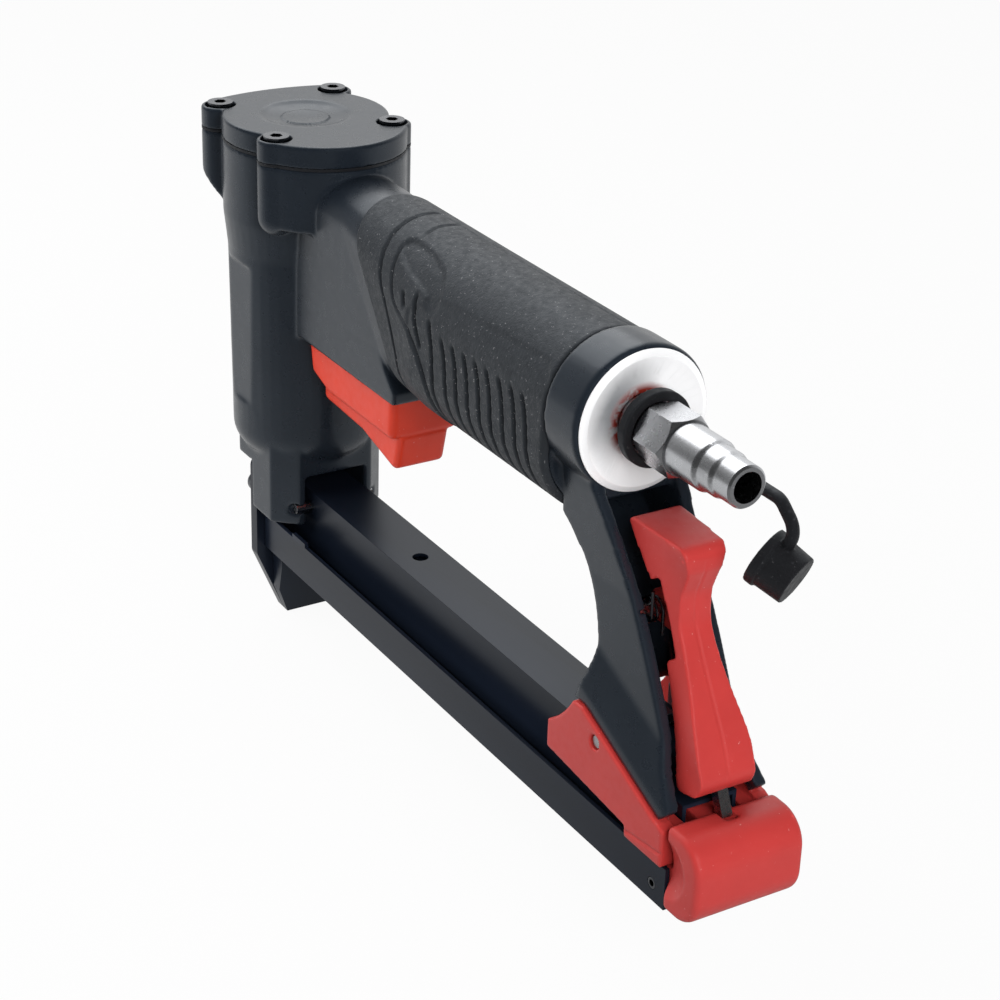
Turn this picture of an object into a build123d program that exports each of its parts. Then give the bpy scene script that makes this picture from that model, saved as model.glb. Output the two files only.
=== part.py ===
from build123d import *
from math import cos, hypot, pi, sin, sqrt
import os

# A pneumatic stapler for fine crown staples. Millimetres, +X to the rear, +Y to the tool's right, +Z up.
# The origin is the driver's exit in the nose face, on the axis of the barrel.

# Clearances
running_gap = 0.05
sliding_gap = 0.2
free_gap = 0.4
seat_gap = 0.3
screw_gap = 0.05

# Staple channel and magazine sheets
nose_drop = 22.7
rail_height = 24.0
rail_half = 7.6
rail_sheet = 1.1
rail_skirt = 18.4
sight_hole_d = 4.4
sight_hole_x = 67.9
channel_half = 14.1
channel_wall = 11.1
channel_sheet = 1.2
channel_end_x = 207.0
stop_tab_x = 18.0
stop_tab_len = 8.0
stop_tab_rise = 1.2
core_half = 5.3
core_sheet = 1.2
core_rear_cut = 10.0
core_slot_half = 1.4
core_bulkhead = 3.0

# Pusher
pusher_len = 21.0
pusher_sheet = 0.6
pusher_skirt = 14.5
pusher_arm_half = 1.1
pusher_lug_len = 8.0
pusher_lug_height = 9.0
rod_d = 3.0
rod_drop = 13.0
push_wire_d = 0.8
push_coil_d = 5.8
push_turns = 24

# Driver and nose
blade_width = 12.6
blade_t = 1.0
blade_gap = 0.1
blade_park = 0.5
blade_exit = 0.4
blade_root = 5.0
plate_t = 4.0
plate_half = 16.4
plate_rise = 4.1
plate_tip_half = 7.8
plate_taper = 20.2
plate_corner_r = 3.0
plate_screw_d = 3.5
plate_screw_head_d = 6.4
plate_screw_head_h = 3.2
plate_screw_len = 10.0
plate_screw_half = 13.2
plate_screw_drop = 5.4
guide_half = 11.4
guide_tip_half = 7.8
guide_taper = 9.0
guide_depth = 6.1
guide_tip_depth = 2.2
guide_wedge = 17.0
guide_screw_d = 2.5
guide_screw_head_d = 4.6
guide_screw_half = 9.2
guide_screw_drop = 5.5
guide_screw_len = 7.0

# Lower block of the body
block_rear_x = 17.8
block_half = 17.7
block_chamfer = 6.2
block_drop = 10.2
block_rise = 12.0
brow_reach = 10.5
brow_corner_r = 3.0
window_half = 9.4
window_rise = 4.5
dowel_d = 3.0
dowel_x = 16.5
dowel_drop = 5.1
dowel_recess = 0.5

# Barrel and what runs in it
barrel_floor = 6.0
barrel_low_r = 21.2
barrel_high_r = 21.9
barrel_round_r = 9.0
barrel_chin = 3.5
label_flat = 20.6
label_half_height = 21.0
label_drop = 54.0
sleeve_bore_d = 27.0
sleeve_wall = 1.5
sleeve_seat = 26.0
sleeve_lead = 3.2
bumper_h = 12.5
piston_h = 9.0
piston_ring_d = 2.0
piston_land = 0.4
chamber_r = 18.6
head_valve_h = 9.0
head_valve_lift = 2.5
head_valve_pocket_r = 8.0
head_valve_pocket = 5.0
head_spring_room = 5.6
head_wire_d = 1.2
head_coil_d = 12.0
head_turns = 4

# Cylinder head and cap
screw_pitch = 35.0
ear_r = 5.25
head_margin = 5.5
head_skirt = 20.5
rear_skirt = 17.6
head_cone = 10.0
rear_lobe_inset = 7.0
front_lobe_r = 60.0
front_lobe_rise = 8.0
front_skirt = 10.5
front_slope = 10.5
gasket_t = 0.8
cap_t = 5.8
cap_edge_r = 0.7
cap_dish_r = 55.0
cap_dish_depth = 1.4
cap_boss_d = 8.0
cap_boss_h = 2.0
cap_screw_d = 4.0
cap_screw_len = 14.0
cap_screw_head_d = 7.0
cap_screw_head_h = 4.0
cap_screw_proud = 0.8
cap_screw_socket = 3.0
cap_screw_socket_depth = 2.4
cap_counterbore_d = 8.5

# Neck, handle and rubber sleeve
handle_drop = 19.4
neck_half = 12.3
neck_top = 17.8
neck_front_x = 4.0
grip_front_x = 38.0
grip_foot_x = 74.0
grip_foot_drop = 27.5
rubber_front_x = 51.5
rubber_foot_x = 78.5
grip_lip = 0.7
grip_t = 2.2
grip_fit = 0.05
handle_r = 16.0
handle_depth = 42.0
handle_sink = 5.7
swell_x = 92.0
grip_end_setback = 53.0
neck_bore_d = 19.0
handle_bore_d = 26.0

# Trigger and its valve
housing_bottom = 31.2
housing_end_x = 73.5
housing_wall = 1.7
housing_roof = 8.5
trigger_pivot_x = 27.5
trigger_pivot_drop = 4.2
trigger_front_x = 21.2
trigger_front_gap = 1.2
trigger_rear_x = 70.0
trigger_tuck = 1.6
trigger_side = 1.8
trigger_notch_x = 33.0
trigger_notch_drop = 12.2
trigger_step_drop = 12.2
trigger_pad_half = 7.6
trigger_pad_front_x = 25.4
trigger_pad_front_drop = 16.8
trigger_pad_bend_x = 47.5
trigger_pad_bend_drop = 17.9
trigger_pad_end_x = 66.4
trigger_pad_drop = 22.6
trigger_corner_r = 2.0
trigger_edge_r = 1.6
trigger_shelf_drop = 3.2
trigger_pin_d = 3.0
lug_r = 3.0
valve_x = 52.0
valve_d = 12.0
valve_sink = 4.5
valve_height = 16.0
valve_chamber_d = 8.0
valve_floor = 6.0
stem_d = 3.2
stem_head_d = 6.4
stem_head_h = 1.5
valve_wire_d = 0.7
valve_coil_d = 5.2
valve_turns = 4

# Air inlet
collar_len = 13.6
inlet_flange_d = 34.7
inlet_flange_t = 1.2
inlet_rim = 1.6
inlet_dish_d = 21.0
inlet_dish = 1.6
inlet_spigot_d = 29.0
inlet_spigot_len = 14.0
inlet_ring_d = 2.4
inlet_ring_setback = 6.0
inlet_cavity_d = 20.0
inlet_cavity_len = 5.0
collar_r = 18.2
collar_round = 0.8
thread_d = 13.0
thread_len = 8.0
hex_af = 13.6
hex_len = 10.8
hex_chamfer = 1.1
plug_barrel_d = 12.6
plug_barrel_len = 9.9
plug_cone_len = 1.7
plug_land_d = 11.2
plug_land_len = 3.5
plug_tip_d = 10.2
plug_tip_len = 5.5
plug_rim = 0.5
plug_bore_d = 7.4

# Dust cap, strap and ring, one rubber moulding
cap_ring_d = 18.6
cap_ring_t = 2.8
cap_ring_standoff = 3.8
strap_d = 3.0
strap_side = 12.0
strap_drop = 6.8
strap_bend_r = 2.2
strap_low_bend_r = 4.0
strap_turn = 3.3
strap_reach = 3.0
strap_fall = 5.2
dust_mouth_d = 13.2
dust_end_d = 12.2
dust_lip_d = 14.0
dust_lip_len = 2.4
dust_len = 9.6
dust_end_t = 1.6
dust_drop = 22.8
dust_setback = 1.6
dust_yaw = 25.0
dust_pitch = 24.0

# Rear leg and bracket
foot_setback = 1.0
foot_rise = 1.3
foot_cut = 3.0
leg_depth = 36.4
gap_end_r = 33.3
gap_top_drop = 29.3
leg_half = 14.4
leg_waist_half = 10.6
leg_top_half = 12.6
leg_plate = 3.0
leg_foot_plate = 3.4
leg_web = 2.6
leg_rear_sagitta = 1.8
leg_top_drop = 15.2
ankle_setback = 6.0
ankle_rise = 9.3
waist_rise = 44.0
flare_low = 3.0
flare_high = 14.0
leg_slope_rise = 11.8
leg_slope_setback = 34.4
tongue_lap = 0.3
tongue_root = 2.0
tongue_plate = 2.2
tongue_len = 24.0
wing_proud = 1.0
wing_hollow_r = 30.5
wing_hollow_x = 2.4
wing_hollow_z = 1.6
wing_front_setback = 48.6
wing_front_drop = 6.4
wing_low_drop = 9.6
wing_step_len = 15.0
bracket_setback = 0.8
bracket_top_drop = 2.9
bracket_floor = 1.2
bracket_pin_d = 3.0
bracket_pin_setback = 28.4
bracket_pin_rise = 5.3
lug_half_len = 4.5
pin_lug_wrap = 2.6
wing_pin_recess = 0.7

# Latch
latch_setback = 23.6
latch_rise = 40.6
latch_pin_d = 3.0
latch_pin_sink = 2.0
lever_len = 57.3
lever_hub_half = 2.8
lever_hub_r = 4.2
lever_hub_reach = 9.0
lever_side_margin = 3.0
hook_plate_t = 0.95
hook_plates = 3
hook_depth = 3.0
hook_height = 15.5
hook_lean = 7.0
torsion_wire_d = 0.8
torsion_coil_d = 5.6
torsion_turns = 2
torsion_leg = 6.0

# Magazine end cap
end_cap_len = 12.9
end_cap_rise = 1.3
end_cap_half = 15.0
end_cap_top_drop = 0.4
end_cap_r = 8.0
end_cap_edge_r = 1.5
end_cap_scoop_r = 14.0
end_cap_scoop = 2.5
tongue_block_half = 5.0
tongue_block_len = 9.4
roll_pin_d = 3.0
roll_pin_bore_d = 1.6
roll_pin_setback = 5.1
roll_pin_rise = 4.5

# Heights of the staple channel
slot_half_t = blade_t / 2 + blade_gap
blade_half = blade_width / 2
slot_half = blade_half + sliding_gap
channel_bottom = nose_drop
channel_floor = channel_bottom + channel_sheet
wall_top = channel_bottom + channel_wall
rail_top = channel_bottom + rail_height
rail_roof = rail_top - rail_sheet
rail_inner = rail_half - rail_sheet
rail_front_x = slot_half_t + sliding_gap
pusher_top = rail_roof - free_gap
core_top = pusher_top - pusher_sheet - seat_gap
core_front_x = rail_front_x + sliding_gap
core_end_x = channel_end_x - core_rear_cut
rod_z_level = core_top - rod_drop

# Heights of the barrel, from the rail up to the cap
block_bottom = rail_top - block_drop
window_top = rail_top + window_rise
floor_z = window_top + barrel_floor
bumper_top = floor_z + bumper_h
blade_tip = rail_top + blade_park
driver_stroke = blade_tip - blade_exit
piston_bottom = bumper_top + seat_gap + driver_stroke
piston_top = piston_bottom + piston_h
sleeve_top = piston_top + sleeve_lead
head_valve_bottom = sleeve_top + seat_gap
head_valve_top = head_valve_bottom + head_valve_h
flange_z = head_valve_top + head_valve_lift + head_spring_room
cap_bottom = flange_z + gasket_t
cap_top = cap_bottom + cap_t
sleeve_bore_r = sleeve_bore_d / 2
sleeve_r = sleeve_bore_r + sleeve_wall
screw_half = screw_pitch / 2
head_r = screw_half + head_margin
rear_lobe_x = screw_half - rear_lobe_inset
front_reach = screw_half + front_lobe_rise
corners = [(i * screw_half, j * screw_half) for i in (-1, 1) for j in (-1, 1)]

# Handle levels
axis_z = flange_z - handle_drop
neck_top_z = axis_z + neck_top
grip_foot_z = axis_z - grip_foot_drop
housing_z = axis_z - housing_bottom
housing_roof_z = housing_z + housing_roof
cavity_half = neck_half - housing_wall
grip_end_x = channel_end_x - grip_end_setback
collar_end_x = grip_end_x + collar_len
inlet_face_x = collar_end_x + inlet_flange_t

# Leg and bracket places
bracket_end_x = channel_end_x - bracket_setback
foot_x = channel_end_x - foot_setback
foot_z = rail_top + foot_rise
gap_end_x = foot_x - leg_depth
gap_centre_x = gap_end_x - gap_end_r
gap_centre_z = (rail_top + axis_z - gap_top_drop) / 2
ankle_x = foot_x - ankle_setback
ankle_z = rail_top + ankle_rise
leg_inner = leg_waist_half - leg_plate
tongue_half = leg_half - leg_foot_plate + tongue_lap
wing_half = leg_half + wing_proud
slope_x = foot_x - leg_slope_setback
slope_z = rail_top + leg_slope_rise
toe_x = foot_x - foot_cut
toe_z = foot_z - foot_cut
bracket_pin_x = foot_x - bracket_pin_setback
bracket_pin_z = rail_top + bracket_pin_rise
latch_x = foot_x - latch_setback
latch_z = rail_top + latch_rise

# Trigger places
trigger_half = cavity_half - sliding_gap
trigger_z = housing_z - trigger_pivot_drop
trigger_inner = trigger_half - trigger_side
shelf_z = housing_z - trigger_shelf_drop
stem_bottom = shelf_z + sliding_gap
valve_bottom = housing_roof_z - valve_sink
valve_top = valve_bottom + valve_height


def block(x, y, z):
    """A box between two limits on each axis."""
    spans = (x, y, z)
    size = [high - low for low, high in spans]
    middle = [(low + high) / 2 for low, high in spans]
    return Pos(*middle) * Box(*size)


def both_sides(x, inner, outer, z):
    """Two mirrored boxes between an inner and an outer half-width."""
    return block(x, (inner, outer), z) + block(x, (-outer, -inner), z)


def rod_x(radius, x0, x1, y, z):
    return Pos((x0 + x1) / 2, y, z) * Rot(0, 90, 0) * Cylinder(radius, x1 - x0)


def rod_y(radius, y0, y1, x, z):
    return Pos(x, (y0 + y1) / 2, z) * Rot(90, 0, 0) * Cylinder(radius, y1 - y0)


def rod_z(radius, z0, z1, x=0, y=0):
    return Pos(x, y, (z0 + z1) / 2) * Cylinder(radius, z1 - z0)


def outline(*points, radius=0):
    """A closed face through the points, with one corner radius or a list of them."""
    return make_face(FilletPolyline(*points, radius=radius, close=True))


def slab(face, y0, y1):
    """A face drawn in X and Z, thickened from y0 to y1."""
    return Pos(0, y1, 0) * extrude(Plane.XZ * face, y1 - y0)


def sheet_x(face, x0, x1):
    """A face drawn in Y and Z, thickened from x0 to x1."""
    return extrude(Plane.YZ.offset(x0) * face, x1 - x0)


def turned(*points):
    """A solid of revolution about Z from (radius, height) points."""
    return revolve(Plane.XZ * outline(*points), Axis.Z, 360)


def turned_x(*points):
    """A solid of revolution about the handle's axis from (x, radius) points."""
    profile = Plane.XZ * outline(*points)
    return Pos(0, 0, axis_z) * revolve(profile, Axis.X, 360)


def biarc(start, start_way, end, end_way):
    """Two arcs that leave start along start_way and reach end along end_way."""
    chord = end - start
    ways = start_way + end_way
    spread = 2 * (1 - start_way.dot(end_way))
    along = chord.dot(ways)
    reach = (sqrt(along ** 2 + spread * chord.dot(chord)) - along) / spread
    first = start + start_way * reach
    second = end - end_way * reach
    middle = (first + second) * 0.5
    return [
        TangentArc(start, middle, tangent=start_way),
        TangentArc(middle, end, tangent=second - first),
    ]


def coil_edges(coil_d, length, turns):
    """A helix about Z as biarcs of a quarter turn, from (coil radius, 0, 0) up to the given length."""
    radius = coil_d / 2
    climb = length / (2 * pi * turns)
    edges = []
    steps = 4 * turns

    def place(step):
        angle = step * pi / 2
        return Vector(radius * cos(angle), radius * sin(angle), climb * angle)

    def way(step):
        angle = step * pi / 2
        return Vector(-radius * sin(angle), radius * cos(angle), climb).normalized()

    for step in range(steps):
        edges += biarc(place(step), way(step), place(step + 1), way(step + 1))
    return edges


def tube(edges, wire_d):
    """A round wire along a chain of edges."""
    path = Wire(edges)
    section = Plane(path @ 0, z_dir=path % 0) * Circle(wire_d / 2)
    return sweep(section, path=path)


def report_gap(name, length, turns, wire_d, coil_d):
    """Print the least gap between neighbouring turns of a coil, measured on points of its wire."""
    points_per_turn = 24
    radius = coil_d / 2
    rise = length / turns / points_per_turn
    places = []
    for step in range(points_per_turn * turns + 1):
        angle = 2 * pi * step / points_per_turn
        places.append((radius * cos(angle), radius * sin(angle), rise * step))
    half = points_per_turn // 2
    least = min(
        hypot(a[0] - b[0], a[1] - b[1], a[2] - b[2])
        for i, a in enumerate(places)
        for b in places[i + half:]
    )
    print(name, "least gap between turns", round(least - wire_d, 2))


def coil(name, coil_d, wire_d, length, turns):
    """A coil spring about Z that stands on z = 0 and is length tall over its wire."""
    run = length - wire_d
    report_gap(name, run, turns, wire_d, coil_d)
    return Pos(0, 0, wire_d / 2) * tube(coil_edges(coil_d, run, turns), wire_d)


# Body casting


def head_outline():
    """The plan of the cylinder head: a disc with four ears and two lobes between them."""
    face = Circle(head_r)
    for x, y in corners:
        face += Pos(x, y) * Circle(ear_r)
    return face


def rear_lobe():
    reach = screw_half + ear_r
    lobe = Pos(rear_lobe_x, 0) * Circle(head_r)
    rear = Pos(screw_half + reach, 0) * Rectangle(2 * reach, 2 * reach)
    return lobe & rear


def front_lobe():
    reach = screw_half + ear_r
    lobe = Pos(front_lobe_r - front_reach, 0) * Circle(front_lobe_r)
    front = Pos(-screw_half - reach, 0) * Rectangle(2 * reach, 2 * screw_half)
    return lobe & front


def cap_plan():
    return head_outline() + rear_lobe() + front_lobe()


def prism(face, z0, z1):
    """A face drawn in X and Y, thickened from z0 to z1."""
    return extrude(Pos(0, 0, z0) * face, z1 - z0)


def barrel():
    skirt_z = flange_z - head_skirt
    cone_z = skirt_z - head_cone
    chin_z = floor_z - barrel_chin
    profile = FilletPolyline(
        (0, chin_z),
        (barrel_low_r, chin_z),
        (barrel_high_r, cone_z),
        (head_r, skirt_z),
        (head_r, flange_z),
        (0, flange_z),
        radius=[0, barrel_round_r, 0, 0, 0, 0],
        close=True,
    )
    solid = revolve(Plane.XZ * make_face(profile), Axis.Z, 360)
    flat_z = flange_z - label_drop
    label_span = (flat_z - label_half_height, flat_z + label_half_height)
    return solid - block((-head_r, head_r), (-2 * head_r, -label_flat), label_span)


def head_casting():
    """Rear lobe and ears run down as columns; front lobe and ears slope into the barrel."""
    skirt_z = flange_z - head_skirt
    front_z = flange_z - front_skirt
    rear = prism(rear_lobe(), flange_z - rear_skirt, flange_z)
    front = prism(front_lobe(), skirt_z, flange_z)
    for x, y in corners:
        if x > 0:
            rear += rod_z(ear_r, skirt_z + ear_r, flange_z, x, y)
            rear += Pos(x, y, skirt_z + ear_r) * Sphere(ear_r)
        else:
            front += rod_z(ear_r, skirt_z, flange_z, x, y)
    wide = 2 * head_r
    slope = turned(
        (0, front_z - front_slope),
        (barrel_high_r, front_z - front_slope),
        (front_reach + ear_r, front_z),
        (wide, front_z),
        (wide, flange_z),
        (0, flange_z),
    )
    return rear + (front & slope)


def lower_block():
    top = floor_z + block_rise
    plan = outline(
        (-slot_half_t, -block_half),
        (block_rear_x - block_chamfer, -block_half),
        (block_rear_x, -block_half + block_chamfer),
        (block_rear_x, block_half - block_chamfer),
        (block_rear_x - block_chamfer, block_half),
        (-slot_half_t, block_half),
    )
    brow_x = -slot_half_t - brow_reach
    brow = outline(
        (0, -block_half),
        (0, block_half),
        (brow_x, block_half),
        (brow_x, -block_half),
        radius=[0, 0, brow_corner_r, brow_corner_r],
    )
    brow_bottom = rail_top + plate_rise + seat_gap
    solid = prism(plan, block_bottom, top) + prism(brow, brow_bottom, top)
    window = block((-slot_half_t, block_rear_x), (-window_half, window_half), (block_bottom, window_top))
    return solid - window


def slanted_plane(top_x, foot_x):
    """A plane across the handle, from the given place on its top to that on its underside."""
    run_z = neck_top_z - grip_foot_z
    middle = ((top_x + foot_x) / 2, 0, (neck_top_z + grip_foot_z) / 2)
    return Plane(origin=middle, x_dir=(0, 1, 0), z_dir=(run_z, 0, foot_x - top_x))


def front_section(grow):
    length = hypot(grip_foot_x - grip_front_x, neck_top_z - grip_foot_z)
    slot = SlotOverall(length + 2 * grow, 2 * (neck_half + grow), rotation=90)
    return slanted_plane(grip_front_x, grip_foot_x) * slot


def handle_section(grow, x):
    level = axis_z - handle_sink
    place = Plane(origin=(x, 0, level), x_dir=(0, 1, 0), z_dir=(1, 0, 0))
    return place * SlotOverall(handle_depth + 2 * grow, 2 * (handle_r + grow), rotation=90)


def handle_form(front_grow, rear_grow, end_x):
    """The handle from the slanted front plane, swelling to its full section."""
    swell = loft([front_section(front_grow), handle_section(rear_grow, swell_x)])
    return swell + extrude(handle_section(rear_grow, swell_x), end_x - swell_x)


def neck():
    reach = grip_foot_x - neck_front_x
    run = extrude(front_section(0), amount=reach, dir=(-1, 0, 0))
    wide = 2 * neck_half
    run &= block((neck_front_x, grip_foot_x), (-wide, wide), (0, flange_z))
    side = outline(
        (neck_front_x, housing_z),
        (housing_end_x, housing_z),
        (grip_foot_x, grip_foot_z),
        (grip_foot_x - housing_roof, grip_foot_z + housing_roof),
        (neck_front_x, grip_foot_z + housing_roof),
    )
    return run + slab(side, -neck_half, neck_half)


def leg_profile():
    """Side view of the rear leg, before the round end of the finger gap is cut."""
    start_x = grip_end_x
    top = Vector(inlet_face_x, axis_z - leg_top_drop)
    ankle = Vector(ankle_x, ankle_z)
    foot = Vector(foot_x, foot_z)
    edges = [
        Line((start_x, axis_z), top),
        SagittaArc(top, ankle, leg_rear_sagitta),
        Line(ankle, foot),
        Line(foot, (toe_x, toe_z)),
        Line((toe_x, toe_z), (slope_x, slope_z)),
        Line((slope_x, slope_z), (start_x, slope_z)),
        Line((start_x, slope_z), (start_x, axis_z)),
    ]
    return make_face(Wire(edges))


def gap_end(grow, half):
    return rod_y(gap_end_r + grow, -half, half, gap_centre_x, gap_centre_z)


def tongue():
    """Two thin tongues under the leg's plates, held inside the bracket."""
    floor = rail_top + bracket_floor + seat_gap
    side = outline(
        (slope_x, floor),
        (slope_x + tongue_len, floor),
        (slope_x + tongue_len, slope_z),
        (slope_x, slope_z),
    )
    leaf = slab(side, tongue_half - tongue_plate, tongue_half)
    return (leaf + mirror(leaf, Plane.XZ)) & slab(under_slope(-tongue_root), -leg_half, leg_half)


def under_slope(gap):
    """The region below the leg's sloped underside, in side view."""
    low = block_bottom - rail_height
    front_x = slope_x - leg_depth
    return outline(
        (front_x, low),
        (channel_end_x, low),
        (channel_end_x, toe_z - gap),
        (toe_x, toe_z - gap),
        (slope_x, slope_z - gap),
        (front_x, slope_z - gap),
    )


def two_sided(half):
    """A face in rear view from (half-width, height) points of its right side."""
    return outline(*half, *[(-y, z) for y, z in reversed(half)])


def leg_rear_view(plate, foot_plate):
    """The leg's thickness, waisted from its top and flared along its sloped underside, less a wall."""
    waist = two_sided([
        (leg_waist_half - plate, block_bottom),
        (leg_waist_half - plate, rail_top + waist_rise),
        (leg_top_half - plate, axis_z - leg_top_drop),
        (leg_top_half - plate, axis_z),
    ])
    flare = two_sided([
        (leg_half - foot_plate, slope_z - leg_depth),
        (leg_half - foot_plate, slope_z + flare_low),
        (leg_waist_half - plate, slope_z + flare_high),
    ])
    run = channel_end_x - grip_end_x
    fall = (toe_z - slope_z) / (toe_x - slope_x)
    down = extrude(Plane.YZ.offset(slope_x) * flare, amount=run, dir=(1, 0, fall))
    ahead = extrude(Plane.YZ.offset(slope_x) * flare, amount=slope_x - grip_end_x, dir=(-1, 0, -fall))
    return sheet_x(waist, grip_end_x, channel_end_x) + down + ahead


def leg():
    solid = slab(leg_profile(), -leg_half, leg_half) & leg_rear_view(0, 0)
    solid -= gap_end(0, leg_half)
    pocket = slab(leg_profile(), -leg_half, leg_half) & leg_rear_view(leg_plate, leg_foot_plate)
    pocket -= gap_end(leg_web, leg_half)
    collar_low = axis_z - collar_r
    pocket -= block((0, collar_end_x), (-leg_half, leg_half), (collar_low, flange_z))
    pin_half = leg_inner + latch_pin_sink
    pin_hole = rod_y(latch_pin_d / 2 + running_gap, -pin_half, pin_half, latch_x, latch_z)
    foot_hole = rod_y(bracket_pin_d / 2 + running_gap, -leg_half, leg_half, bracket_pin_x, bracket_pin_z)
    return solid - pocket - pin_hole + (tongue() - foot_hole)


def trigger_lug():
    """The lug in the trigger housing that carries the trigger's pin."""
    half = trigger_inner - seat_gap
    stem = block(
        (trigger_pivot_x - lug_r, trigger_pivot_x + lug_r), (-half, half), (trigger_z, housing_roof_z)
    )
    eye = rod_y(lug_r, -half, half, trigger_pivot_x, trigger_z)
    return stem + eye - rod_y(trigger_pin_d / 2 + running_gap, -half, half, trigger_pivot_x, trigger_z)


def main_body():
    body = barrel() + head_casting() + lower_block() + neck()
    body += handle_form(0, 0, grip_end_x + seat_gap)
    body += collar()
    body += leg()
    body -= rod_z(sleeve_r + sliding_gap, floor_z, floor_z + sleeve_seat)
    body -= rod_z(chamber_r, floor_z + sleeve_seat, flange_z)
    body -= block((-slot_half_t, slot_half_t), (-slot_half, slot_half), (window_top, floor_z))
    spigot_x = collar_end_x - inlet_spigot_len
    body -= rod_x(neck_bore_d / 2, 0, swell_x, 0, axis_z)
    body -= rod_x(handle_bore_d / 2, swell_x, spigot_x, 0, axis_z)
    body -= rod_x(inlet_spigot_d / 2 + running_gap, spigot_x, collar_end_x, 0, axis_z)
    body -= rod_x(inlet_flange_d / 2 + seat_gap, collar_end_x, inlet_face_x + inlet_flange_t, 0, axis_z)
    cavity_x = (trigger_front_x - trigger_front_gap, trigger_rear_x + free_gap)
    body -= block(cavity_x, (-cavity_half, cavity_half), (housing_z, housing_roof_z))
    body -= rod_z(valve_d / 2 + running_gap, housing_roof_z, axis_z, valve_x)
    body += trigger_lug()
    for x, y in corners:
        body -= rod_z(cap_screw_d / 2 + screw_gap, cap_screw_tip(), flange_z, x, y)
    for y in (-plate_screw_half, plate_screw_half):
        thread = rod_x(plate_screw_d / 2 + screw_gap, -slot_half_t, plate_screw_end(), y, plate_screw_z())
        body -= thread
    dowel_half = block_half + dowel_d
    body -= rod_y(dowel_d / 2 + running_gap, -dowel_half, -window_half, dowel_x, rail_top - dowel_drop)
    body -= rod_y(dowel_d / 2 + running_gap, window_half, dowel_half, dowel_x, rail_top - dowel_drop)
    return body


def collar():
    """The round end of the handle behind the rubber sleeve, its rear edge broken."""
    return turned_x(
        (grip_end_x + seat_gap, 0),
        (grip_end_x + seat_gap, collar_r),
        (collar_end_x - collar_round, collar_r),
        (collar_end_x, collar_r - collar_round),
        (collar_end_x, 0),
    )


# Cylinder head pieces


def cap_screw_tip():
    return cap_top + cap_screw_proud - cap_screw_head_h - cap_screw_len


def cylinder_cap():
    cap = prism(cap_plan(), cap_bottom, cap_top)
    cap = fillet(cap.edges().group_by(Axis.Z)[-1], cap_edge_r)
    for x, y in corners:
        seat = cap_top + cap_screw_proud - cap_screw_head_h
        cap -= rod_z(cap_counterbore_d / 2, seat, cap_top, x, y)
        cap -= rod_z(cap_screw_d / 2 + sliding_gap, cap_bottom, seat, x, y)
    dish_z = cap_top - cap_dish_depth + cap_dish_r
    cap -= Pos(0, 0, dish_z) * Sphere(cap_dish_r)
    return cap + rod_z(cap_boss_d / 2, cap_bottom - cap_boss_h, cap_bottom)


def cap_gasket():
    gasket = prism(cap_plan(), flange_z, cap_bottom) - rod_z(chamber_r, flange_z, cap_bottom)
    for x, y in corners:
        gasket -= rod_z(cap_screw_d / 2 + sliding_gap, flange_z, cap_bottom, x, y)
    return gasket


def cap_screws():
    head_top = cap_top + cap_screw_proud
    head_bottom = head_top - cap_screw_head_h
    socket = RegularPolygon(cap_screw_socket / sqrt(3), 6)
    screw = rod_z(cap_screw_head_d / 2, head_bottom, head_top)
    screw += rod_z(cap_screw_d / 2, cap_screw_tip(), head_bottom)
    screw -= prism(socket, head_top - cap_screw_socket_depth, head_top)
    return Part(children=[Pos(x, y) * screw for x, y in corners])


def cylinder_sleeve():
    return rod_z(sleeve_r, floor_z, sleeve_top) - rod_z(sleeve_bore_r, floor_z, sleeve_top)


def bumper():
    slot = block((-blade_t, blade_t), (-slot_half, slot_half), (floor_z, bumper_top))
    return rod_z(sleeve_bore_r - sliding_gap, floor_z, bumper_top) - slot


def piston():
    radius = sleeve_bore_r - running_gap
    middle = (piston_bottom + piston_top) / 2
    groove_half = piston_ring_d / 2 + running_gap
    groove_r = sleeve_bore_r - piston_ring_d - piston_land
    solid = rod_z(radius, piston_bottom, piston_top)
    ring = rod_z(radius, middle - groove_half, middle + groove_half)
    solid -= ring - rod_z(groove_r, middle - groove_half, middle + groove_half)
    slot_x = (-blade_t / 2, blade_t / 2)
    return solid - block(slot_x, (-blade_half, blade_half), (piston_bottom, piston_bottom + blade_root))


def piston_ring():
    middle = (piston_bottom + piston_top) / 2
    section_r = piston_ring_d / 2
    return Pos(0, 0, middle) * Torus(sleeve_bore_r - 2 * running_gap - section_r, section_r)


def driver_blade():
    span = (blade_tip, piston_bottom + blade_root)
    return block((-blade_t / 2, blade_t / 2), (-blade_half, blade_half), span)


def head_valve():
    disc = rod_z(chamber_r - sliding_gap, head_valve_bottom, head_valve_top)
    return disc - rod_z(head_valve_pocket_r, head_valve_top - head_valve_pocket, head_valve_top)


def head_valve_spring():
    seat = head_valve_top - head_valve_pocket
    length = cap_bottom - seat - 2 * running_gap
    spring = coil("head_valve_spring", head_coil_d, head_wire_d, length, head_turns)
    return Pos(0, 0, seat + running_gap) * spring


# Nose


def plate_screw_z():
    return rail_top - plate_screw_drop


def plate_screw_end():
    return plate_screw_len - slot_half_t - plate_t


def guide_screw_z():
    return channel_bottom - free_gap - guide_screw_drop


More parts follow.
